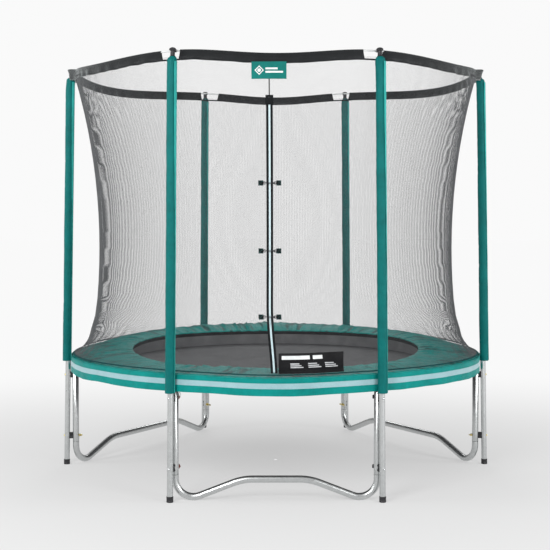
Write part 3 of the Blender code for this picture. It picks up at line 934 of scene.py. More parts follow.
def bolt_parts(height, knob):
    """A bolt through both tubes: dome head outside the pole, washer and nut, wing or knob inside the leg."""
    outer = float(pole_radius(height)) - FRAME_RADIUS + POLE_TUBE
    inner = -FRAME_TUBE

    def axial(start, profile, sides=24):
        shape = turned([(r, start + x) for r, x in profile], sides)
        return shape.moved(Matrix.Translation((0.0, 0.0, height)) @ QUARTER_TURN)

    parts = [axial(outer, [(0.003, -0.0016), (0.0064, -0.0016), (0.0064, 0.0008), (0.0052, 0.0030),
                           (0.003, 0.0043), (0.0004, 0.0046)]),
             axial(0.0, [(0.0029, inner - 0.020), (0.0029, outer)]),
             axial(inner, [(0.003, -0.0018), (0.0090, -0.0018), (0.0092, -0.0010), (0.0090, 0.0002),
                           (0.003, 0.0002)])]
    if knob == "knob":
        sides = 48
        turns = turns_round(sides)
        lobes = 1.0 + 0.10 * np.cos(turns * 5)
        rings = []
        for radius, x in ((0.005, -0.0019), (0.0062, -0.0024), (0.0066, -0.006), (0.0112, -0.0072),
                          (0.0128, -0.0090), (0.0130, -0.0140), (0.0120, -0.0162), (0.0060, -0.0170)):
            reach = radius * (lobes if radius > 0.009 else 1.0)
            rings.append(np.stack([np.full(sides, inner + x), reach * np.cos(turns),
                                   height + reach * np.sin(turns)], axis=1))
        parts.append(skin(rings, finish=1))
    elif knob == "wing":
        parts.append(axial(inner, [(0.0074, -0.0020), (0.0070, -0.008), (0.0052, -0.012), (0.0035, -0.012)]))
        for side in (1, -1):
            route = [(inner - x, side * y, height + side * z)
                     for x, y, z in ((0.005, 0.004, 0.0), (0.009, 0.011, 0.002), (0.0145, 0.0165, 0.004),
                                     (0.0165, 0.0185, 0.0045))]
            blade = rounded(0.0034, 0.0100, 0.0015)
            parts.append(sweep(route, blade, (1.0, 0.2, 0.0), scale=[0.8, 1.0, 1.0, 0.6]))
    else:
        parts.append(axial(inner, [(0.003, -0.0082), (0.0068, -0.0082), (0.0074, -0.0074), (0.0074, -0.0028),
                                   (0.0068, -0.0020), (0.003, -0.0020)], 6))
        parts.append(axial(inner, [(0.003, -0.013), (0.0056, -0.012), (0.0064, -0.0084)]))
    return joined(parts)


def make_clamps():
    for level, height in CLAMP_HEIGHTS.items():
        block = spacer_block(height)
        for station, azimuth in STATIONS.items():
            place = at_upright(azimuth)
            piece(f"spacer_{level}_{station}", block.moved(place), ["plastic"],
                  replaces=[f"clamp_spacer_{level}_{station}"], sharp=40.0)
            metal = "spring" if station in KNOB_FINISH else "yellow zinc"
            finishes = [metal, KNOB_FINISH.get(station, "plastic")]
            bolt = bolt_parts(height, NUTS[station]).moved(place)
            piece(f"clamp_bolt_{level}_{station}", bolt, finishes, sharp=35.0)


# ---------------------------------------------------------------- pole sleeves

def sleeve_shape(seed, bottom):
    """A foam tube in a coated cover: soft dents and creases, a gathered top and an open foot."""
    sides = 64
    turns = turns_round(sides)
    heights = np.concatenate([np.linspace(bottom + 0.006, 2.24, 150), np.linspace(2.243, 2.300, 20)])
    draw = np.random.default_rng(seed)

    def ring(radius, height, offset):
        height = np.broadcast_to(height, sides)
        return np.stack([offset + radius * np.cos(turns), radius * np.sin(turns), height], axis=1)

    foot = ((0.0172, 0.010, 0.0), (0.0185, 0.003, 0.001), (0.0235, 0.001, SLEEVE_OFFSET * 0.8),
            (0.0250, 0.0, SLEEVE_OFFSET), (0.0258, 0.002, SLEEVE_OFFSET))
    rings = [ring(radius, bottom + rise, offset) for radius, rise, offset in foot]
    creases = [(draw.uniform(0.62, 2.26), draw.uniform(0, 2 * math.pi), draw.uniform(0.35, 1.0),
                draw.choice([-1.0, 1.0]) * draw.uniform(0.004, 0.016)) for _ in range(46)]
    phases = draw.uniform(0.0, 2 * math.pi, 6)
    for height in heights:
        swell = 0.0005 * math.sin(height * 9.0 + phases[0]) + 0.0004 * math.sin(height * 23.0 + phases[1])
        radius = SLEEVE_RADIUS + swell + 0.0005 * np.cos(2 * turns + phases[2] + height * 2.0)
        for at, toward, size, slant in creases:
            apart = np.angle(np.exp(1j * (turns - toward)))
            line = at + slant * apart
            hollow = np.exp(-((height - line) / 0.0065) ** 2) * np.exp(-(apart / 0.9) ** 2)
            radius = radius - 0.0017 * size * hollow
        pinch = smoothstep((height - 2.250) / 0.055)
        pleats = 0.0011 * np.cos(9 * turns + phases[3]) + 0.0006 * np.cos(14 * turns + phases[4])
        radius = radius * (1 - 0.05 * pinch) + pleats * pinch
        rings.append(ring(radius, height, SLEEVE_OFFSET * (1 - 0.35 * pinch)))
    pleat = np.cos(9 * turns + phases[3])
    gathered = ((0.0240, 2.3090, 0.0046, 0.0014), (0.0224, 2.3150, 0.0038, 0.0016),
                (0.0186, 2.3200, 0.0022, 0.0015), (0.0152, 2.3230, 0.0008, 0.0010),
                (0.0139, 2.3245, 0.0002, 0.0006), (0.0133, 2.3268, 0.0, 0.0004), (0.0128, 2.3250, 0.0, 0.0))
    for radius, height, offset, depth in gathered:
        tilt = 0.0022 * np.cos(turns - phases[5])
        rings.append(ring(radius + depth * pleat, height + tilt * (radius > 0.014), offset))
    rings += [ring(radius, height, 0.0)
              for radius, height in ((0.0168, 2.3215), (0.0166, 2.3150), (0.0166, bottom + 0.030))]
    return skin(rings, wrap=True)


def lapped_edge_highlight(azimuth, seed, bottom):
    """The lapped closing edge of a sleeve, a lighter teal as a painted highlight. It faces the same way on
    every pole, so the highlight sits on the same side of each.
    """
    heights = np.linspace(bottom + 0.004, 2.298, 120)
    end = math.radians(94.0 - azimuth)
    lift = 0.0010 + 0.0022 * smoothstep((heights - 0.9) / 1.2) + 0.0005 * np.sin(heights * 31.0 + seed)
    reach = math.radians(30.0) + math.radians(34.0) * smoothstep((heights - 0.9) / 1.3)
    rings = []
    for height, up, width in zip(heights, lift, reach):
        front = [(end - width * t, SLEEVE_RADIUS + 0.0011 + up * t**1.5) for t in np.linspace(0.0, 1.0, 9)]
        back = [(a, r - 0.0011) for a, r in reversed(front)]
        rings.append([(SLEEVE_OFFSET + r * math.cos(a), r * math.sin(a), height) for a, r in front + back])
    return skin(rings)


def make_sleeves():
    for seed, (station, azimuth) in enumerate(STATIONS.items(), start=11):
        bottom = SLEEVE_BOTTOMS[station]
        place = at_pole(azimuth)
        sleeve = piece(f"sleeve_{station}", sleeve_shape(seed, bottom).moved(place), ["sleeve"],
                       replaces=[f"pole_sleeve_{station}"], closed=True)
        # The lapped edge strip is a lighter teal: a painted highlight on the same side of every sleeve.
        flap = lapped_edge_highlight(azimuth, seed, bottom).moved(place)
        piece(f"sleeve_edge_highlight_{station}", flap, ["seam"])
        tie = sweep(level_loop(0.0142, 2.3262, 40), circle(0.0013, 8), UP, wrap=True)
        piece(f"sleeve_tie_{station}", tie.moved(place), ["webbing"])


# ---------------------------------------------------------------- mat and springs

def mat_sector(index):
    """One wedge of the jumping mat with its share of the sewn edge band. Neighbours meet exactly."""
    width = 360.0 / SECTORS
    turns = np.linspace(index * width - width / 2, index * width + width / 2, 13)
    band = MAT_RADIUS - 0.045
    radii = np.concatenate([np.linspace(0.002, band - 0.002, 44), [band, band + 0.0008],
                            np.linspace(band + 0.010, MAT_RADIUS - 0.002, 5), [MAT_RADIUS]])
    top = RING_HEIGHT + MAT_THICKNESS / 2 - 0.0012
    thick = np.where(radii > band + 0.0004, 0.0012, 0.0)
    thick[-1] = -0.0006
    upper = polar(turns[None, :], radii[:, None], top + thick[:, None])
    under = RING_HEIGHT - MAT_THICKNESS / 2 + 0.0004
    lower = polar(turns[None, :], radii[:, None], under - thick[:, None] * 0.5)
    rings = np.concatenate([upper, lower[::-1]], axis=0).transpose(1, 0, 2)
    shape = skin(rings)
    first_on_band = int(np.searchsorted(radii, band, side="right"))
    count = len(radii)
    finish = []
    for face in shape.faces:
        rows = [v % (2 * count) for v in face]
        rows = [r if r < count else 2 * count - 1 - r for r in rows]
        finish.append(1 if min(rows) >= first_on_band - 1 and len(face) == 4 else 0)
    return Shape(shape.verts, shape.faces, shape.uvs, finish)


def spring_shape(azimuth):
    """A coil spring with its hooks, the V-ring on the mat's edge and the hook's end in the ring tube."""
    inner, outer = MAT_RADIUS + 0.036, FRAME_RADIUS - FRAME_TUBE - 0.016
    coils, steps = 25, 11
    count = coils * steps
    t = np.linspace(0.0, 1.0, count + 1)
    turn = t * coils * 2 * math.pi
    size = 0.0068 * np.minimum(1.0, np.minimum(t, 1.0 - t) * coils / 1.2 + 0.35)
    along = inner + (outer - inner) * t
    local = np.stack([along, size * np.cos(turn), size * np.sin(turn)], axis=1)
    normal = np.stack([np.zeros(count + 1), np.cos(turn), np.sin(turn)], axis=1)
    wire = circle(0.0014, 6)
    coil = sweep(local, wire, normal)
    hook_in = [(inner, 0.0024, 0.0), (inner - 0.010, 0.0, 0.0), (inner - 0.018, 0.0, 0.002),
               (inner - 0.0215, 0.0, 0.0), (inner - 0.018, 0.0, -0.005), (inner - 0.012, 0.0, -0.006)]
    hook_out = [(outer, -0.0024, 0.0), (outer + 0.008, 0.0, 0.001), (outer + 0.014, 0.0, 0.004),
                (outer + 0.018, 0.0, 0.008), (outer + 0.0205, 0.0, 0.0080), (outer + 0.0225, 0.0, 0.0040)]
    hooks = [sweep(smooth_line(points, 14), wire, ACROSS) for points in (hook_in, hook_out)]
    tip, base, half = MAT_RADIUS + 0.0185, MAT_RADIUS - 0.004, 0.017
    loop = np.array([(tip, 0.0, 0.0), (base + 0.004, half, 0.0), (base, half - 0.004, 0.0),
                     (base, -half + 0.004, 0.0), (base + 0.004, -half, 0.0)])
    loop = np.concatenate([np.linspace(loop[i], loop[(i + 1) % 5], 6)[:-1] for i in range(5)])
    ring = sweep(loop, circle(0.0018, 6), UP, wrap=True)
    folded = ((0.040, 0.0022), (0.008, 0.0026), (0.002, 0.0020), (0.0004, 0.0), (0.002, -0.0020),
              (0.008, -0.0026), (0.030, -0.0026))
    strap_route = [(MAT_RADIUS - inward, 0.0, height) for inward, height in folded]
    strap = sweep(strap_route, rounded(0.024, 0.0012, 0.0005, 2), ACROSS, finish=1)
    return joined([coil, *hooks, ring, strap]).moved(placed(azimuth, 0.0, RING_HEIGHT))


def make_mat():
    """Mat wedges and springs between the fixed ring and the moving mat, which goes down as a bowl. They ride
    on no body.
    """
    for index in range(SECTORS):
        azimuth = index * 360.0 / SECTORS
        wedge = piece(f"mat_wedge_{index + 1:02d}", mat_sector(index), ["mat", "webbing"], body=None,
                      replaces=["jumping_mat"] if index == 0 else ())
        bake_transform(wedge)
        step = 360.0 / SPRINGS
        pair = joined([spring_shape(azimuth - step / 2), spring_shape(azimuth + step / 2)])
        springs = piece(f"springs_{index + 1:02d}", pair, ["spring", "webbing"], body=None,
                        replaces=["mat_springs"] if index == 0 else ())
        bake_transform(springs)


# ---------------------------------------------------------------- ring cover and skirt

def around(azimuth, lifts):
    """A height that changes round the cover, from pairs of (azimuth either way from the front, height)."""
    apart = apart_from(np.asarray(azimuth, float), 0.0)
    total = 0.0
    for turn in (-8.0, -4.0, 0.0, 4.0, 8.0):
        total = total + np.interp(np.abs(apart + turn), *zip(*lifts))
    return total / 5.0


def rim_lift(azimuth):
    return around(azimuth, RIM_LIFTS)


def cover_lift(azimuth, share):
    """How far the foam stands up off the springs, share 0 at its inner edge and 1 at its rim."""
    inner, crest, rim = around(azimuth, INNER_LIFTS), around(azimuth, CREST_LIFTS), rim_lift(azimuth)
    middle = 0.62
    return (inner * (share - middle) * (share - 1.0) / middle
            + crest * share * (share - 1.0) / (middle * (middle - 1.0))
            + rim * share * (share - middle) / (1.0 - middle))


def cover_ridges(azimuth, seed):
    """Sharp-crested radial creases: 0 in the hollows, 1 on the crests."""
    coarse = waves(azimuth, COVER_CREASES[seed], seed)
    return 1.0 - np.sqrt(np.abs(np.clip(coarse * 1.3, -1.0, 1.0)))


def cover_top(azimuth, radius):
    """Height of the cover's upper side: crowned foam, sunk between creases and at its sewn seams."""
    share = (radius - COVER_INNER) / (COVER_OUTER - COVER_INNER)
    crown = 0.0030 * (1.0 - np.abs(2.0 * share - 1.0) ** 2.5)
    inner_part = smoothstep((share + 0.10) / 0.30) * smoothstep((1.0 - share) / 0.10)
    uneven = 0.65 + 0.55 * waves(azimuth + 9.0 * share, range(2, 11), 23)
    uneven = uneven * (0.6 + 0.4 * np.cos(5.0 * (share - 0.25)))
    creases = 0.0170 * cover_ridges(azimuth + 2.6 * share, 21) * uneven
    creases = (creases + 0.0070 * cover_ridges(azimuth - 3.4 * share, 22)) * inner_part
    seams = 0.0
    for seam in COVER_SEAMS:
        apart = np.radians(apart_from(azimuth, seam)) * radius
        seams = seams + 0.0045 * np.exp(-(apart / 0.006) ** 2)
    return COVER_TOP - 0.0140 + crown + creases - seams + cover_lift(azimuth, share)


def skirt_radius(azimuth, height):
    """The skirt hangs in shallow waves that grow towards its lower edge."""
    drop = np.clip((COVER_TOP - height) / (COVER_TOP - SKIRT_BOTTOM), 0.0, 1.0)
    wave = waves(azimuth, range(7, 33, 2), 31)
    fine = waves(azimuth, range(40, 84, 3), 32)
    radius = COVER_OUTER + 0.0015 * drop + 0.0045 * wave * drop**0.8 + 0.0014 * fine * drop
    return np.maximum(radius, SKIRT_INNERMOST)


def skirt_shift(azimuth):
    return 0.0026 * waves(azimuth, range(5, 27, 2), 33) + 0.9 * rim_lift(azimuth)


def cover_shape():
    azimuths = degrees_round(960)
    lip, edge = 0.0075, 0.0056
    radii = np.linspace(COVER_INNER + lip, COVER_OUTER - 0.006, 26)
    raised, shift = rim_lift(azimuths), skirt_shift(azimuths)

    def ring(radius, height):
        return polar(azimuths, radius, height)

    def skirt_ring(share, top, inward):
        height = top - (top - SKIRT_BOTTOM) * share
        hung = height + raised * (1.0 - share) + shift * share
        return ring(skirt_radius(azimuths, height) - inward, hung)

    rings = [ring(radius, cover_top(azimuths, radius)) for radius in radii]
    edge_top = cover_top(azimuths, radii[-1])
    for turn in np.radians((25.0, 50.0, 75.0, 90.0)):
        rings.append(ring(radii[-1] + edge * math.sin(turn), edge_top - edge * (1 - math.cos(turn))))
    rings += [skirt_ring(share, SKIRT_TOP, 0.0) for share in np.linspace(0.0, 1.0, 16)]
    outer_count = len(rings)
    rings += [skirt_ring(share, COVER_BOTTOM - 0.001, 0.0013) for share in np.linspace(1.0, 0.0, 12)]
    for radius in np.linspace(COVER_OUTER - 0.012, COVER_INNER + 0.006, 10):
        share = (radius - COVER_INNER) / (COVER_OUTER - COVER_INNER)
        rings.append(ring(radius, COVER_BOTTOM + 0.0006 + cover_lift(azimuths, share)))
    bottom_count = len(rings)
    first = cover_top(azimuths, radii[0])
    low = COVER_BOTTOM + cover_lift(azimuths, 0.0)
    middle = (first + low) / 2
    for turn in np.radians((60.0, 30.0, 0.0, -30.0, -60.0)):
        reach = middle - low if turn >= 0.0 else first - middle
        rings.append(ring(COVER_INNER + lip - lip * math.cos(turn), middle - reach * math.sin(turn)))
    shape = closed_band(rings)
    count = len(rings)
    finish = []
    for face in shape.faces:
        rows = [v % count for v in face]
        row = min(rows) if max(rows) < count - 1 else count - 1
        # Finish 1, the black backing, runs up over the lower half of the inner lip as painted shade of the
        # gap under the cover's edge.
        finish.append(1 if outer_count - 1 <= row < bottom_count + 2 else 2 if 28 <= row < outer_count else 0)
    return Shape(shape.verts, shape.faces, shape.uvs, finish)


def skirt_band(bottom, top, proud):
    """A strip sewn on the skirt, following its waves."""
    azimuths = degrees_round(480)
    front, back = [], []
    for height in np.linspace(bottom, top, 5):
        share = (SKIRT_TOP - height) / (SKIRT_TOP - SKIRT_BOTTOM)
        moved = height + skirt_shift(azimuths) * share + rim_lift(azimuths) * (1.0 - share)
        radius = skirt_radius(azimuths, height)
        front.append(polar(azimuths, radius + proud, moved))
        back.append(polar(azimuths, radius + proud - 0.0006, moved))
    return closed_band(front + back[::-1])


def stitches(route, normal, length=0.006, gap=0.004, radius=0.0005):
    """Short raised threads along a route."""
    route = np.asarray(route, float)
    walked = np.concatenate([[0.0], np.cumsum(np.linalg.norm(np.diff(route, axis=0), axis=1))])
    parts = []
    at = gap
    normal = np.broadcast_to(np.asarray(normal, float), route.shape)
    while at + length < walked[-1]:
        ends = np.linspace(at, at + length, 4)
        points = np.stack([np.interp(ends, walked, route[:, axis]) for axis in range(3)], axis=1)
        faces_to = np.stack([np.interp(ends, walked, normal[:, axis]) for axis in range(3)], axis=1)
        arch = np.array([0.0, radius, radius, 0.0])[:, None]
        parts.append(sweep(points + faces_to * arch, circle(radius, 4), faces_to))
        at += length + gap
    return joined(parts)


def make_cover():
    cover = piece("ring_cover", cover_shape(), ["vinyl", "underside_and_edge_shade", "skirt"],
                  replaces=["spring_cover_pad"], closed=True)
    piece("skirt_stripe", skirt_band(*STRIPE, 0.0007), ["stripe"])
    piece("skirt_hem", skirt_band(SKIRT_BOTTOM + 0.0005, SKIRT_BOTTOM + 0.0085, 0.0005), ["skirt"])
    azimuths = degrees_round(480)
    welt = polar(azimuths, COVER_OUTER - 0.0012, COVER_TOP - 0.0070 + rim_lift(azimuths))
    welt = sweep(welt, circle(0.0024, 10), UP, wrap=True)
    piece("cover_welt", welt, ["skirt"])
    azimuths = degrees_round(360)
    low = COVER_BOTTOM + 0.0008 + cover_lift(azimuths, 0.02)
    floor = np.full(360, RING_HEIGHT + 0.0032)
    middle = np.maximum(low - 0.018, floor + 0.002)
    # The black webbing band under the inner edge is painted shade of the gap between cover and mat; the flap
    # below it is mat-coloured.
    cloths = (("cover_inner_hem_shade", low, middle, "webbing"), ("cover_inner_flap", middle, floor, "mat"))
    for name, top, bottom, finish in cloths:
        wall = [polar(azimuths, COVER_INNER + 0.009 + 0.0006 * side, height)
                for side, heights in ((1, (top, bottom)), (-1, (bottom, top))) for height in heights]
        piece(name, closed_band(wall), [finish])
    piece("cover_stitches", cover_stitches(), ["thread"])


def cover_stitches():
    """Two rows along each seam, and one round the inner edge."""
    rows = []
    for seam in COVER_SEAMS:
        radii = np.linspace(COVER_INNER + 0.012, COVER_OUTER - 0.020, 60)
        for side in (-1.0, 1.0):
            azimuth = seam + np.degrees(side * 0.0085 / radii)
            rows.append(stitches(polar(azimuth, radii, cover_top(azimuth, radii) + 0.0002), UP))
    edge = np.arange(721) * 0.5
    inner = polar(edge, COVER_INNER + 0.016, cover_top(edge, COVER_INNER + 0.016) + 0.0002)
    rows.append(stitches(inner, UP, 0.007, 0.005))
    return joined(rows)


def make_ties():
    """Webbing straps that hold the cover to the ring, and the pale loop that shows at the front left leg."""
    parts = []
    for number in range(18):
        azimuth = 10.0 + number * 20.0
        if min(apart_from(azimuth, station) for station in STATIONS.values()) < 3.0:
            continue
        turns = np.radians(np.linspace(80.0, 440.0, 33))
        reach = FRAME_TUBE + 0.0016
        local = np.stack([reach * np.cos(turns), np.zeros(33), reach * np.sin(turns)], axis=1)
        local[:, 2] = np.minimum(local[:, 2], COVER_BOTTOM - RING_HEIGHT - 0.001)
        local[:, 0] = np.minimum(local[:, 0], FRAME_TUBE + 0.0004)
        strap = sweep(local, rounded(0.020, 0.0012, 0.0005, 2), ACROSS)
        parts.append(strap.moved(placed(azimuth, FRAME_RADIUS, RING_HEIGHT)))
    piece("cover_straps", joined(parts), ["webbing"])
    turns = turns_round(32)
    loop = np.stack([-0.010 + 0.002 * np.cos(turns), 0.024 + 0.0055 * np.sin(turns),
                     0.562 + 0.0100 * np.cos(turns)], axis=1)
    shape = sweep(loop, circle(0.0016, 8), (1.0, 0.0, 0.0), wrap=True)
    piece("cover_loop", shape.moved(at_upright(STATIONS["front_left"])), ["pale elastic"])


# ---------------------------------------------------------------- safety net

def hem_foot(azimuth):
    """Height of the hem's lower edge."""
    return rod_height(azimuth) - HEM_DEPTH


def net_heights(azimuth, shares):
    """Heights from the flare's foot to under the hem, closer together at the flare."""
    top = hem_foot(azimuth) + 0.018
    eased = np.where(shares < 0.35, 0.12 * (shares / 0.35) ** 1.15, 0.12 + 0.88 * (shares - 0.35) / 0.65)
    return NET_BOTTOM + (top - NET_BOTTOM) * eased


def make_net():
    azimuths = degrees_round(720)
    rings = [on_net(azimuths, net_heights(azimuths, share)) for share in np.linspace(0.0, 1.0, 64)]
    net = piece("net_cloth", skin(rings, caps=False), ["net"], replaces=["safety_net"])
    threads = piece("net_threads", net_threads(), ["yarn"], sharp=180.0)
    return net, [threads]


def net_threads():
    """Three-sided yarns that run down the net."""
    turns = degrees_round(NET_THREADS)
    heights = np.array([net_heights(turns, share) for share in np.linspace(0.0, 1.0, 23)])
    centre = on_net(turns[None, :], heights, 0.0004)
    half = 0.00028
    away = (on_net(turns[None, :], heights, 0.0104) - centre) / 0.01
    side = polar(turns + 90.0, 1.0, 0.0)[None, :, :]
    back = centre - away * half
    corners = [centre + away * half * 1.5, back + side * half, back - side * half]
    rows, width, length = len(heights), 0.0004, 0.07
    verts = np.stack(corners, axis=2).transpose(1, 0, 2, 3).reshape(-1, 3)
    faces, uvs = [], []
    for thread in range(NET_THREADS):
        for row in range(rows - 1):
            low = (thread * rows + row) * 3
            v0, v1 = row * length, row * length + length
            for a in range(3):
                b = (a + 1) % 3
                u0, u1 = a * width, a * width + width
                faces.append([low + a, low + b, low + b + 3, low + a + 3])
                uvs.append([[u0, v0], [u1, v0], [u1, v1], [u0, v1]])
    return Shape(verts, faces, uvs)


def hem_section():
    """Outline of the hem in (out, up) from the rod's centre: round over the rod, flat below it."""
    turns = np.radians(np.linspace(-35.0, 215.0, 17))
    over = [(0.0062 * math.cos(t), 0.0062 * math.sin(t)) for t in turns]
    inner = [(-0.0036, -0.0085), (-0.0022, -0.016), (-0.0016, -0.034), (-0.0014, -HEM_DEPTH + 0.0006),
             (-0.0006, -HEM_DEPTH)]
    outer = [(-x, y) for x, y in reversed(inner)]
    return over + inner + outer


def side_bulge(azimuth):
    """At the two side poles the hem goes out round the pole's head."""
    total = 0.0
    for station in ("side_left", "side_right"):
        total = total + 1.0 - smoothstep((apart_from(azimuth, STATIONS[station]) - 0.9) / 7.0)
    return total


def hem_band(start, end, seed):
    azimuths = np.linspace(start, end, max(24, int((end - start) * 3)))
    ruffle = waves(azimuths, range(30, 88, 5), seed)
    section = hem_section()
    rings = []
    ends = np.minimum(azimuths - start, end - azimuths)
    for azimuth, fold, inside in zip(azimuths, ruffle, ends):
        height = float(rod_height(azimuth))
        slant = 0.6 * (1.0 - smoothstep(inside / 2.0)) * (1.0 if azimuth > (start + end) / 2 else -1.0)
        bulge = float(side_bulge(azimuth))
        low_fold = 0.0022 * fold * (1.0 + 1.4 * abs(math.sin(math.radians(azimuth))))
        ring = []
        for out, up in section:
            hang = min(1.0, max(0.0, -up / HEM_DEPTH))
            grow = 1.0 + 0.2 * bulge
            swing = low_fold * hang + (0.044 if out > 0 else 0.0) * bulge * (1.0 - 0.25 * hang)
            lift = 0.0095 * bulge * (1.0 - hang)
            lift = lift + 0.0008 * fold * hang
            ring.append((azimuth + slant * hang, ROD_RING_RADIUS + out * grow + swing, height + up + lift))
        rings.append(polar(*np.array(ring).T))
    return skin(rings)


def make_hem():
    """The hem is one black sleeve in four lengths. It is cut open in a window at the front and back poles."""
    spans = [("front", "front_left", "front_right"), ("right", "front_right", "back_right"),
             ("back", "back_right", "back_left"), ("left", "back_left", "front_left")]
    made = []
    for seed, (name, first, last) in enumerate(spans, start=41):
        start = STATIONS[first] + WINDOWS[first][1]
        end = STATIONS[last] - WINDOWS[last][0] + (360.0 if name == "back" else 0.0)
        band = hem_band(start, end, seed)
        made.append(piece(f"hem_{name}", band, ["hem"], closed=True))
        turns = np.linspace(start + 0.4, end - 0.4, 600)
        rows = []
        for drop in (0.0125, HEM_DEPTH - 0.006):
            bulge = side_bulge(turns)
            free = bulge < 0.05
            height = rod_height(turns) - drop
            fold = waves(turns, range(30, 88, 5), seed) * 0.0022 * drop / HEM_DEPTH
            swing = fold + 0.044 * bulge * (1 - 0.25 * drop / HEM_DEPTH)
            route = polar(turns, ROD_RING_RADIUS + 0.0034 + swing, height)
            rows.append(stitches(route[free], polar(turns, 1.0, 0.0)[free], 0.009, 0.006, 0.00045))
        made.append(piece(f"hem_stitches_{name}", joined(rows), ["webbing"]))
    for station, (left, right) in WINDOWS.items():
        turns = STATIONS[station] + np.linspace(-left - 1.0, right + 1.0, 30)
        slack = 0.004 * np.cos(np.radians((turns - STATIONS[station]) * 20.0))
        route = polar(turns, ROD_RING_RADIUS - 0.0010, rod_height(turns) - HEM_DEPTH + 0.0040 - slack * 0.3)
        strip = sweep(route, rounded(0.0016, 0.0085, 0.0007), polar(turns, 1.0, 0.0))
        made.append(piece(f"hem_binding_{station}", strip, ["webbing"]))
    return made


def make_rod():
    azimuths = degrees_round(540)
    route = polar(azimuths, ROD_RING_RADIUS, rod_height(azimuths))
    rod = sweep(route, circle(ROD_RADIUS, 20), UP, wrap=True)
    piece("hem_rod", rod, ["rod"], replaces=["net_top_rod"])


def make_net_foot():
    """The net's foot is bound with webbing, which sits on the cover's rim. The elastic that holds it there is
    not built.
    """
    azimuths = degrees_round(720)
    low, high = NET_BOTTOM + 0.0002, NET_BOTTOM + 0.0044
    front = [on_net(azimuths, h, 0.0011) for h in np.linspace(low, high, 4)]
    back = [on_net(azimuths, h, -0.0006) for h in np.linspace(high, low, 4)]
    return piece("net_foot_binding", closed_band(front + back), ["binding"])


# ---------------------------------------------------------------- door

def door_line(sideways, heights, standoff):
    """A line up the door and the net's normals along it."""
    route = door_points(sideways, heights, standoff)
    return route, (door_points(sideways, heights, standoff + 0.01) - route) / 0.01


def door_strip(sideways, bottom, top, width, thickness, standoff, steps=90):
    route, normal = door_line(sideways, np.linspace(bottom, top, steps), standoff)
    return sweep(route, rounded(thickness, width, thickness * 0.45, 2), normal)


def make_zip():
    tapes = [door_strip(side * 0.0111, ZIP_BOTTOM, ZIP_TOP, 0.0126, 0.0012, 0.0016) for side in (-1, 1)]
    teeth = [door_strip(side * 0.0025, ZIP_BOTTOM + 0.004, ZIP_TOP, 0.0046, 0.0014, 0.0016)
             for side in (-1, 1)]
    heights = np.linspace(ZIP_BOTTOM + 0.01, ZIP_TOP - 0.01, 400)
    rows = [stitches(*door_line(side, heights, 0.0023), 0.005, 0.004, 0.0004)
            for side in (-0.0148, -0.0078, 0.0078, 0.0148)]
    seam_top = float(hem_foot(DOOR_AZIMUTH)) + 0.006
    seam = door_strip(0.0, ZIP_TOP + 0.02, seam_top, 0.0058, 0.0014, 0.0012, 24)
    return [piece("zip_tapes", joined(tapes), ["webbing"]),
            piece("zip_teeth", joined(teeth), ["teeth"]),
            piece("zip_stitches", joined(rows), ["webbing"]),
            piece("net_seam", seam, ["webbing"])]


def door_panel(width, bottom, top, standoff, thickness, bow=0.0, sideways=0.0, columns=9, rows=12):
    """A sewn patch on the door, or a flap that bows out by bow at its middle."""
    across = np.linspace(-width / 2, width / 2, columns)
    front, back = [], []
    for share in np.linspace(0.0, 1.0, rows):
        height = bottom + (top - bottom) * share
        swell = bow * math.sin(math.pi * min(1.0, 0.15 + share)) ** 0.7
        swell = swell * np.cos(np.pi * across / width) ** 0.6
        round_off = 0.0004 * (np.abs(across) > width / 2 * 0.9)
        front.append(door_points(sideways + across, height, standoff + swell - round_off))
        back.append(door_points(sideways + across, height, standoff + swell - thickness))
    return slab(front, back)


def make_garage():
    """A stout flap over the zip's top that hides the parked slider."""
    flap = door_panel(0.040, 2.074, 2.122, 0.0030, 0.0012, bow=0.0112)
    return [piece("zip_garage", flap, ["webbing"], closed=True)]


def on_meridian(height, standoff):
    """The frame of a piece on the door: X across it, Y up along the net and Z away from it."""
    angle = math.asin((height - WAIST_HEIGHT) / MERIDIAN)
    radius = WAIST_RADIUS + MERIDIAN - MERIDIAN * math.cos(angle)
    rise, lean = math.cos(angle), math.sin(angle)
    axes = Matrix(((1.0, 0.0, 0.0, 0.0),
                   (0.0, -lean, -rise, -radius - standoff * rise),
                   (0.0, rise, -lean, height - standoff * lean),
                   (0.0, 0.0, 0.0, 1.0)))
    return Matrix.Rotation(math.radians(DOOR_AZIMUTH), 4, "Z") @ axes


def make_slider():
    """A die-cast slider body with a bridge and a folded pull."""
    levels = [(0.0, 0.86), (0.0007, 0.97), (0.0024, 1.0), (0.0036, 0.97), (0.0042, 0.86)]
    shield = [(-0.0040, -0.013), (0.0040, -0.013), (0.0068, -0.002), (0.0070, 0.005), (0.0056, 0.0125),
              (0.0020, 0.0128), (0.0, 0.0105), (-0.0020, 0.0128), (-0.0056, 0.0125), (-0.0070, 0.005),
              (-0.0068, -0.002)]
    rings = [[(x * s, y * s, z) for x, y in shield] for z, s in levels]
    body = skin(rings)
    bridge = sweep(smooth_line([(0.0, -0.007, 0.0036), (0.0, -0.005, 0.0062), (0.0, 0.003, 0.0066),
                                (0.0, 0.006, 0.0036)], 14), rounded(0.0034, 0.0012, 0.0005), (1.0, 0.0, 0.0))
    pull_route = smooth_line([(0.0, -0.004, 0.0050), (0.0, -0.010, 0.0058), (0.0, -0.018, 0.0050),
                              (0.0, -0.024, 0.0042)], 12)
    widening = np.linspace(0.8, 1.15, 12)
    pull = sweep(pull_route, rounded(0.0072, 0.0012, 0.0005), (1.0, 0.0, 0.0), scale=widening)
    place = on_meridian(SLIDER_HEIGHT, 0.004)
    piece("slider", joined([body, bridge, pull]).moved(place), ["hardware"], body="zip_slider",
          replaces=["zip_slider"], sharp=40.0)


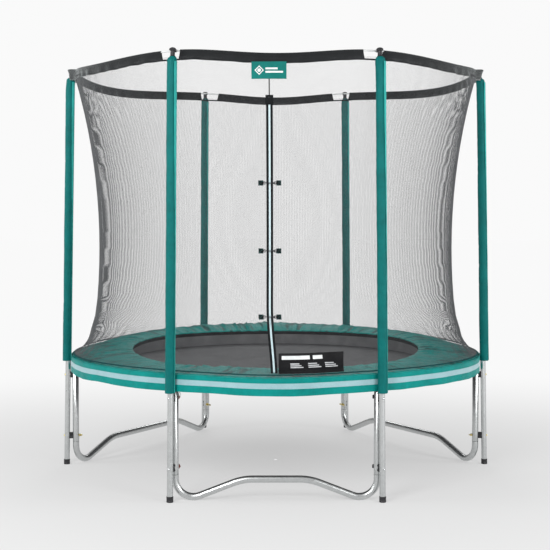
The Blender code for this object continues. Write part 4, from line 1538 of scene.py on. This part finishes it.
def webbing_square(side, height):
    """A folded square of webbing sewn on beside the zip, with a box of stitches."""
    middle, half = side * CLIP_SQUARE_OFFSET, 0.0135
    shape = door_panel(0.026, height - half, height + half, 0.0034, 0.0018,
                       sideways=middle, columns=6, rows=6)
    corners = [(-0.0105, -0.0110), (0.0105, -0.0110), (0.0105, 0.0110), (-0.0105, 0.0110), (-0.0105, -0.0110),
               (0.0105, 0.0110)]
    route = np.concatenate([np.linspace(a, b, 8) for a, b in zip(corners, corners[1:])])
    points = door_points(middle + route[:, 0], height + route[:, 1], 0.0035)
    normal = net_normal(np.array(DOOR_AZIMUTH), np.array(height))
    return joined([shape, stitches(points, normal, 0.0034, 0.0016, 0.00035).finished(1)])


def make_clips():
    """Each clip is a hook across the zip between two rings, which hang from squares of webbing."""
    made = []
    for number, height in enumerate(CLIP_HEIGHTS, start=1):
        squares = [webbing_square(side, height) for side in (-1, 1)]
        made.append(piece(f"clip_webbing_{number}", joined(squares), ["webbing", "thread"]))
        place = on_meridian(height, 0.0)
        rings = []
        for side in (-1, 1):
            loop = level_loop(0.0075, 0.0078, 28) + (side * 0.0290, 0.0, 0.0)
            rings.append(sweep(loop, circle(0.0013, 8), UP, wrap=True))
            tab = [(side * 0.042, 0.0, 0.0058), (side * 0.038, 0.0, 0.0092), (side * 0.0350, 0.0, 0.0098),
                   (side * 0.0332, 0.0, 0.0078), (side * 0.0350, 0.0, 0.0058), (side * 0.041, 0.0, 0.0050)]
            rings.append(sweep(smooth_line(tab, 14), rounded(0.010, 0.0012, 0.0005, 2), ACROSS, finish=1))
        made.append(piece(f"clip_rings_{number}", joined(rings).moved(place), ["hardware", "webbing"]))
        hook = smooth_line([(-0.0240, -0.0010, 0.0010), (-0.0290, -0.0020, 0.0012), (-0.0308, 0.0012, 0.0016),
                            (-0.0285, 0.0042, 0.0020), (-0.0230, 0.0042, 0.0022), (-0.0100, 0.0020, 0.0022),
                            (0.0060, 0.0004, 0.0022), (0.0150, 0.0, 0.0022)], 44)
        wire = sweep(hook, circle(0.0016, 10), UP)
        along = [(x, 0.0, 0.0021) for x in (0.0090, 0.0102, 0.0140, 0.0240, 0.0300, 0.0316)]
        case = sweep(along, rounded(0.0085, 0.0038, 0.0016), ACROSS, scale=[0.55, 0.85, 1.0, 1.0, 0.85, 0.5])
        gate = sweep([(-0.0215, -0.0012, 0.0014), (-0.0090, -0.0014, 0.0016), (0.0085, -0.0018, 0.0018)],
                     rounded(0.0016, 0.0012, 0.0004), UP)
        hook_place = on_meridian(height, CLIP_STANDOFF)
        piece(f"clip_hook_{number}", joined([wire, case, gate]).moved(hook_place), ["hardware"],
              body=f"door_clip_{number}", replaces=[f"door_clip_hook_{number}"])
    return made


# ---------------------------------------------------------------- tag and label

def hung_panel(azimuth, top, width, depth, radius, thickness):
    """A flat tag that hangs from the hem, slightly curled with the hem's curve."""
    across = np.linspace(-width / 2, width / 2, 17)
    front, back = [], []
    for share in np.linspace(0.0, 1.0, 13):
        turns = azimuth + np.degrees(across / radius)
        height = top - depth * share
        out = radius + 0.0012 * np.sin(across * 55.0 + 1.3) * share
        front.append(polar(turns, out, height))
        back.append(polar(turns, out - thickness, height))
    return slab(front, back)


def tag_mark(outline, radius):
    """A thin raised print from an outline (x, height) on the tag."""
    across, heights = np.array(outline, float).T
    azimuth = DOOR_AZIMUTH + np.degrees(across / radius)
    return skin([polar(azimuth, out, heights) for out in (radius - 0.0012, radius)])


def bar_outline(x0, x1, z0, z1):
    x, z = (x0 + x1) / 2, (z0 + z1) / 2
    return [(x0, z0), (x, z0), (x1, z0), (x1, z), (x1, z1), (x, z1), (x0, z1), (x0, z)]


def make_tag():
    """The hanging tag carries a plain diamond with a dot, and two plain bars."""
    top, width, depth = 2.286, 0.180, 0.088
    radius = ROD_RING_RADIUS + 0.0075
    tag = hung_panel(DOOR_AZIMUTH, top, width, depth, radius, 0.0012)
    made = [piece("hem_tag", tag, ["tag"], closed=True)]
    face = radius + 0.0022
    middle = top - depth / 2
    centre = (-0.050, middle)
    outer, inner = circle(0.024, 4) + centre, circle(0.024 * 0.72, 4) + centre
    outlines = [[outer[k], outer[k - 3], inner[k - 3], inner[k]] for k in range(4)]
    outlines += [circle(0.009, 20) + centre, bar_outline(-0.018, 0.044, middle + 0.004, middle + 0.013),
                 bar_outline(-0.018, 0.072, middle - 0.013, middle - 0.004)]
    marks = [tag_mark(outline, face) for outline in outlines]
    made.append(piece("hem_tag_print", joined(marks), ["print"]))
    return made


def make_label():
    """A plain black label at the net's foot, right of the zip, with plain pale bars."""
    across = np.linspace(0.012, 0.352, 49)
    heights = np.linspace(NET_BOTTOM + 0.004, 0.778, 22)
    turns = [np.degrees(np.arcsin(across / net_profile(h))) for h in heights]
    front, back = ([on_net(turn, h, standoff) for turn, h in zip(turns, heights)]
                   for standoff in (0.0058, 0.0048))
    made = [piece("net_label", slab(front, back), ["label"], closed=True)]

    def bar(start, end, low, high):
        at, rows = np.linspace(start, end, 8), np.linspace(low, high, 4)
        return slab(*([on_net(at, h, standoff) for h in rows] for standoff in (0.0062, 0.0054)))

    bars = [bar(1.4, 8.8, 0.744, 0.764), bar(9.6, 12.2, 0.744, 0.764)]
    small = []
    for start in (3.6, 8.2, 12.6):
        for line in range(3):
            low = 0.702 + line * 0.009
            small.append(bar(start, start + 3.3 - 0.5 * line, low, low + 0.0048))
    made.append(piece("net_label_bar", joined(bars), ["print"]))
    made.append(piece("net_label_lines", joined(small), ["grey print"]))
    return made


# ---------------------------------------------------------------- put together

def make_floor():
    """A flat round floor that reaches out to the horizon."""
    rings = [polar(degrees_round(64), radius, 0.0) for radius in (0.01, 2.0, 6.0, 20.0, 80.0)]
    shape = skin(rings, caps=False)
    mesh = bpy.data.meshes.new("floor")
    mesh.from_pydata(shape.verts.tolist(), [], shape.faces)
    mesh.materials.append(floor_finish("studio floor"))
    floor = bpy.data.objects.new("floor", mesh)
    bpy.context.scene.collection.objects.link(floor)


def main():
    make_camera()
    make_studio()
    FINISHES.update(make_finishes())
    make_ring()
    make_uprights()
    make_bases()
    make_poles()
    make_caps()
    make_clamps()
    make_sleeves()
    make_mat()
    make_cover()
    make_ties()
    make_rod()
    net, with_net = make_net()
    with_net += make_hem()
    with_net.append(make_net_foot())
    with_net += make_zip() + make_garage() + make_clips() + make_tag() + make_label()
    make_slider()
    make_floor()


main()
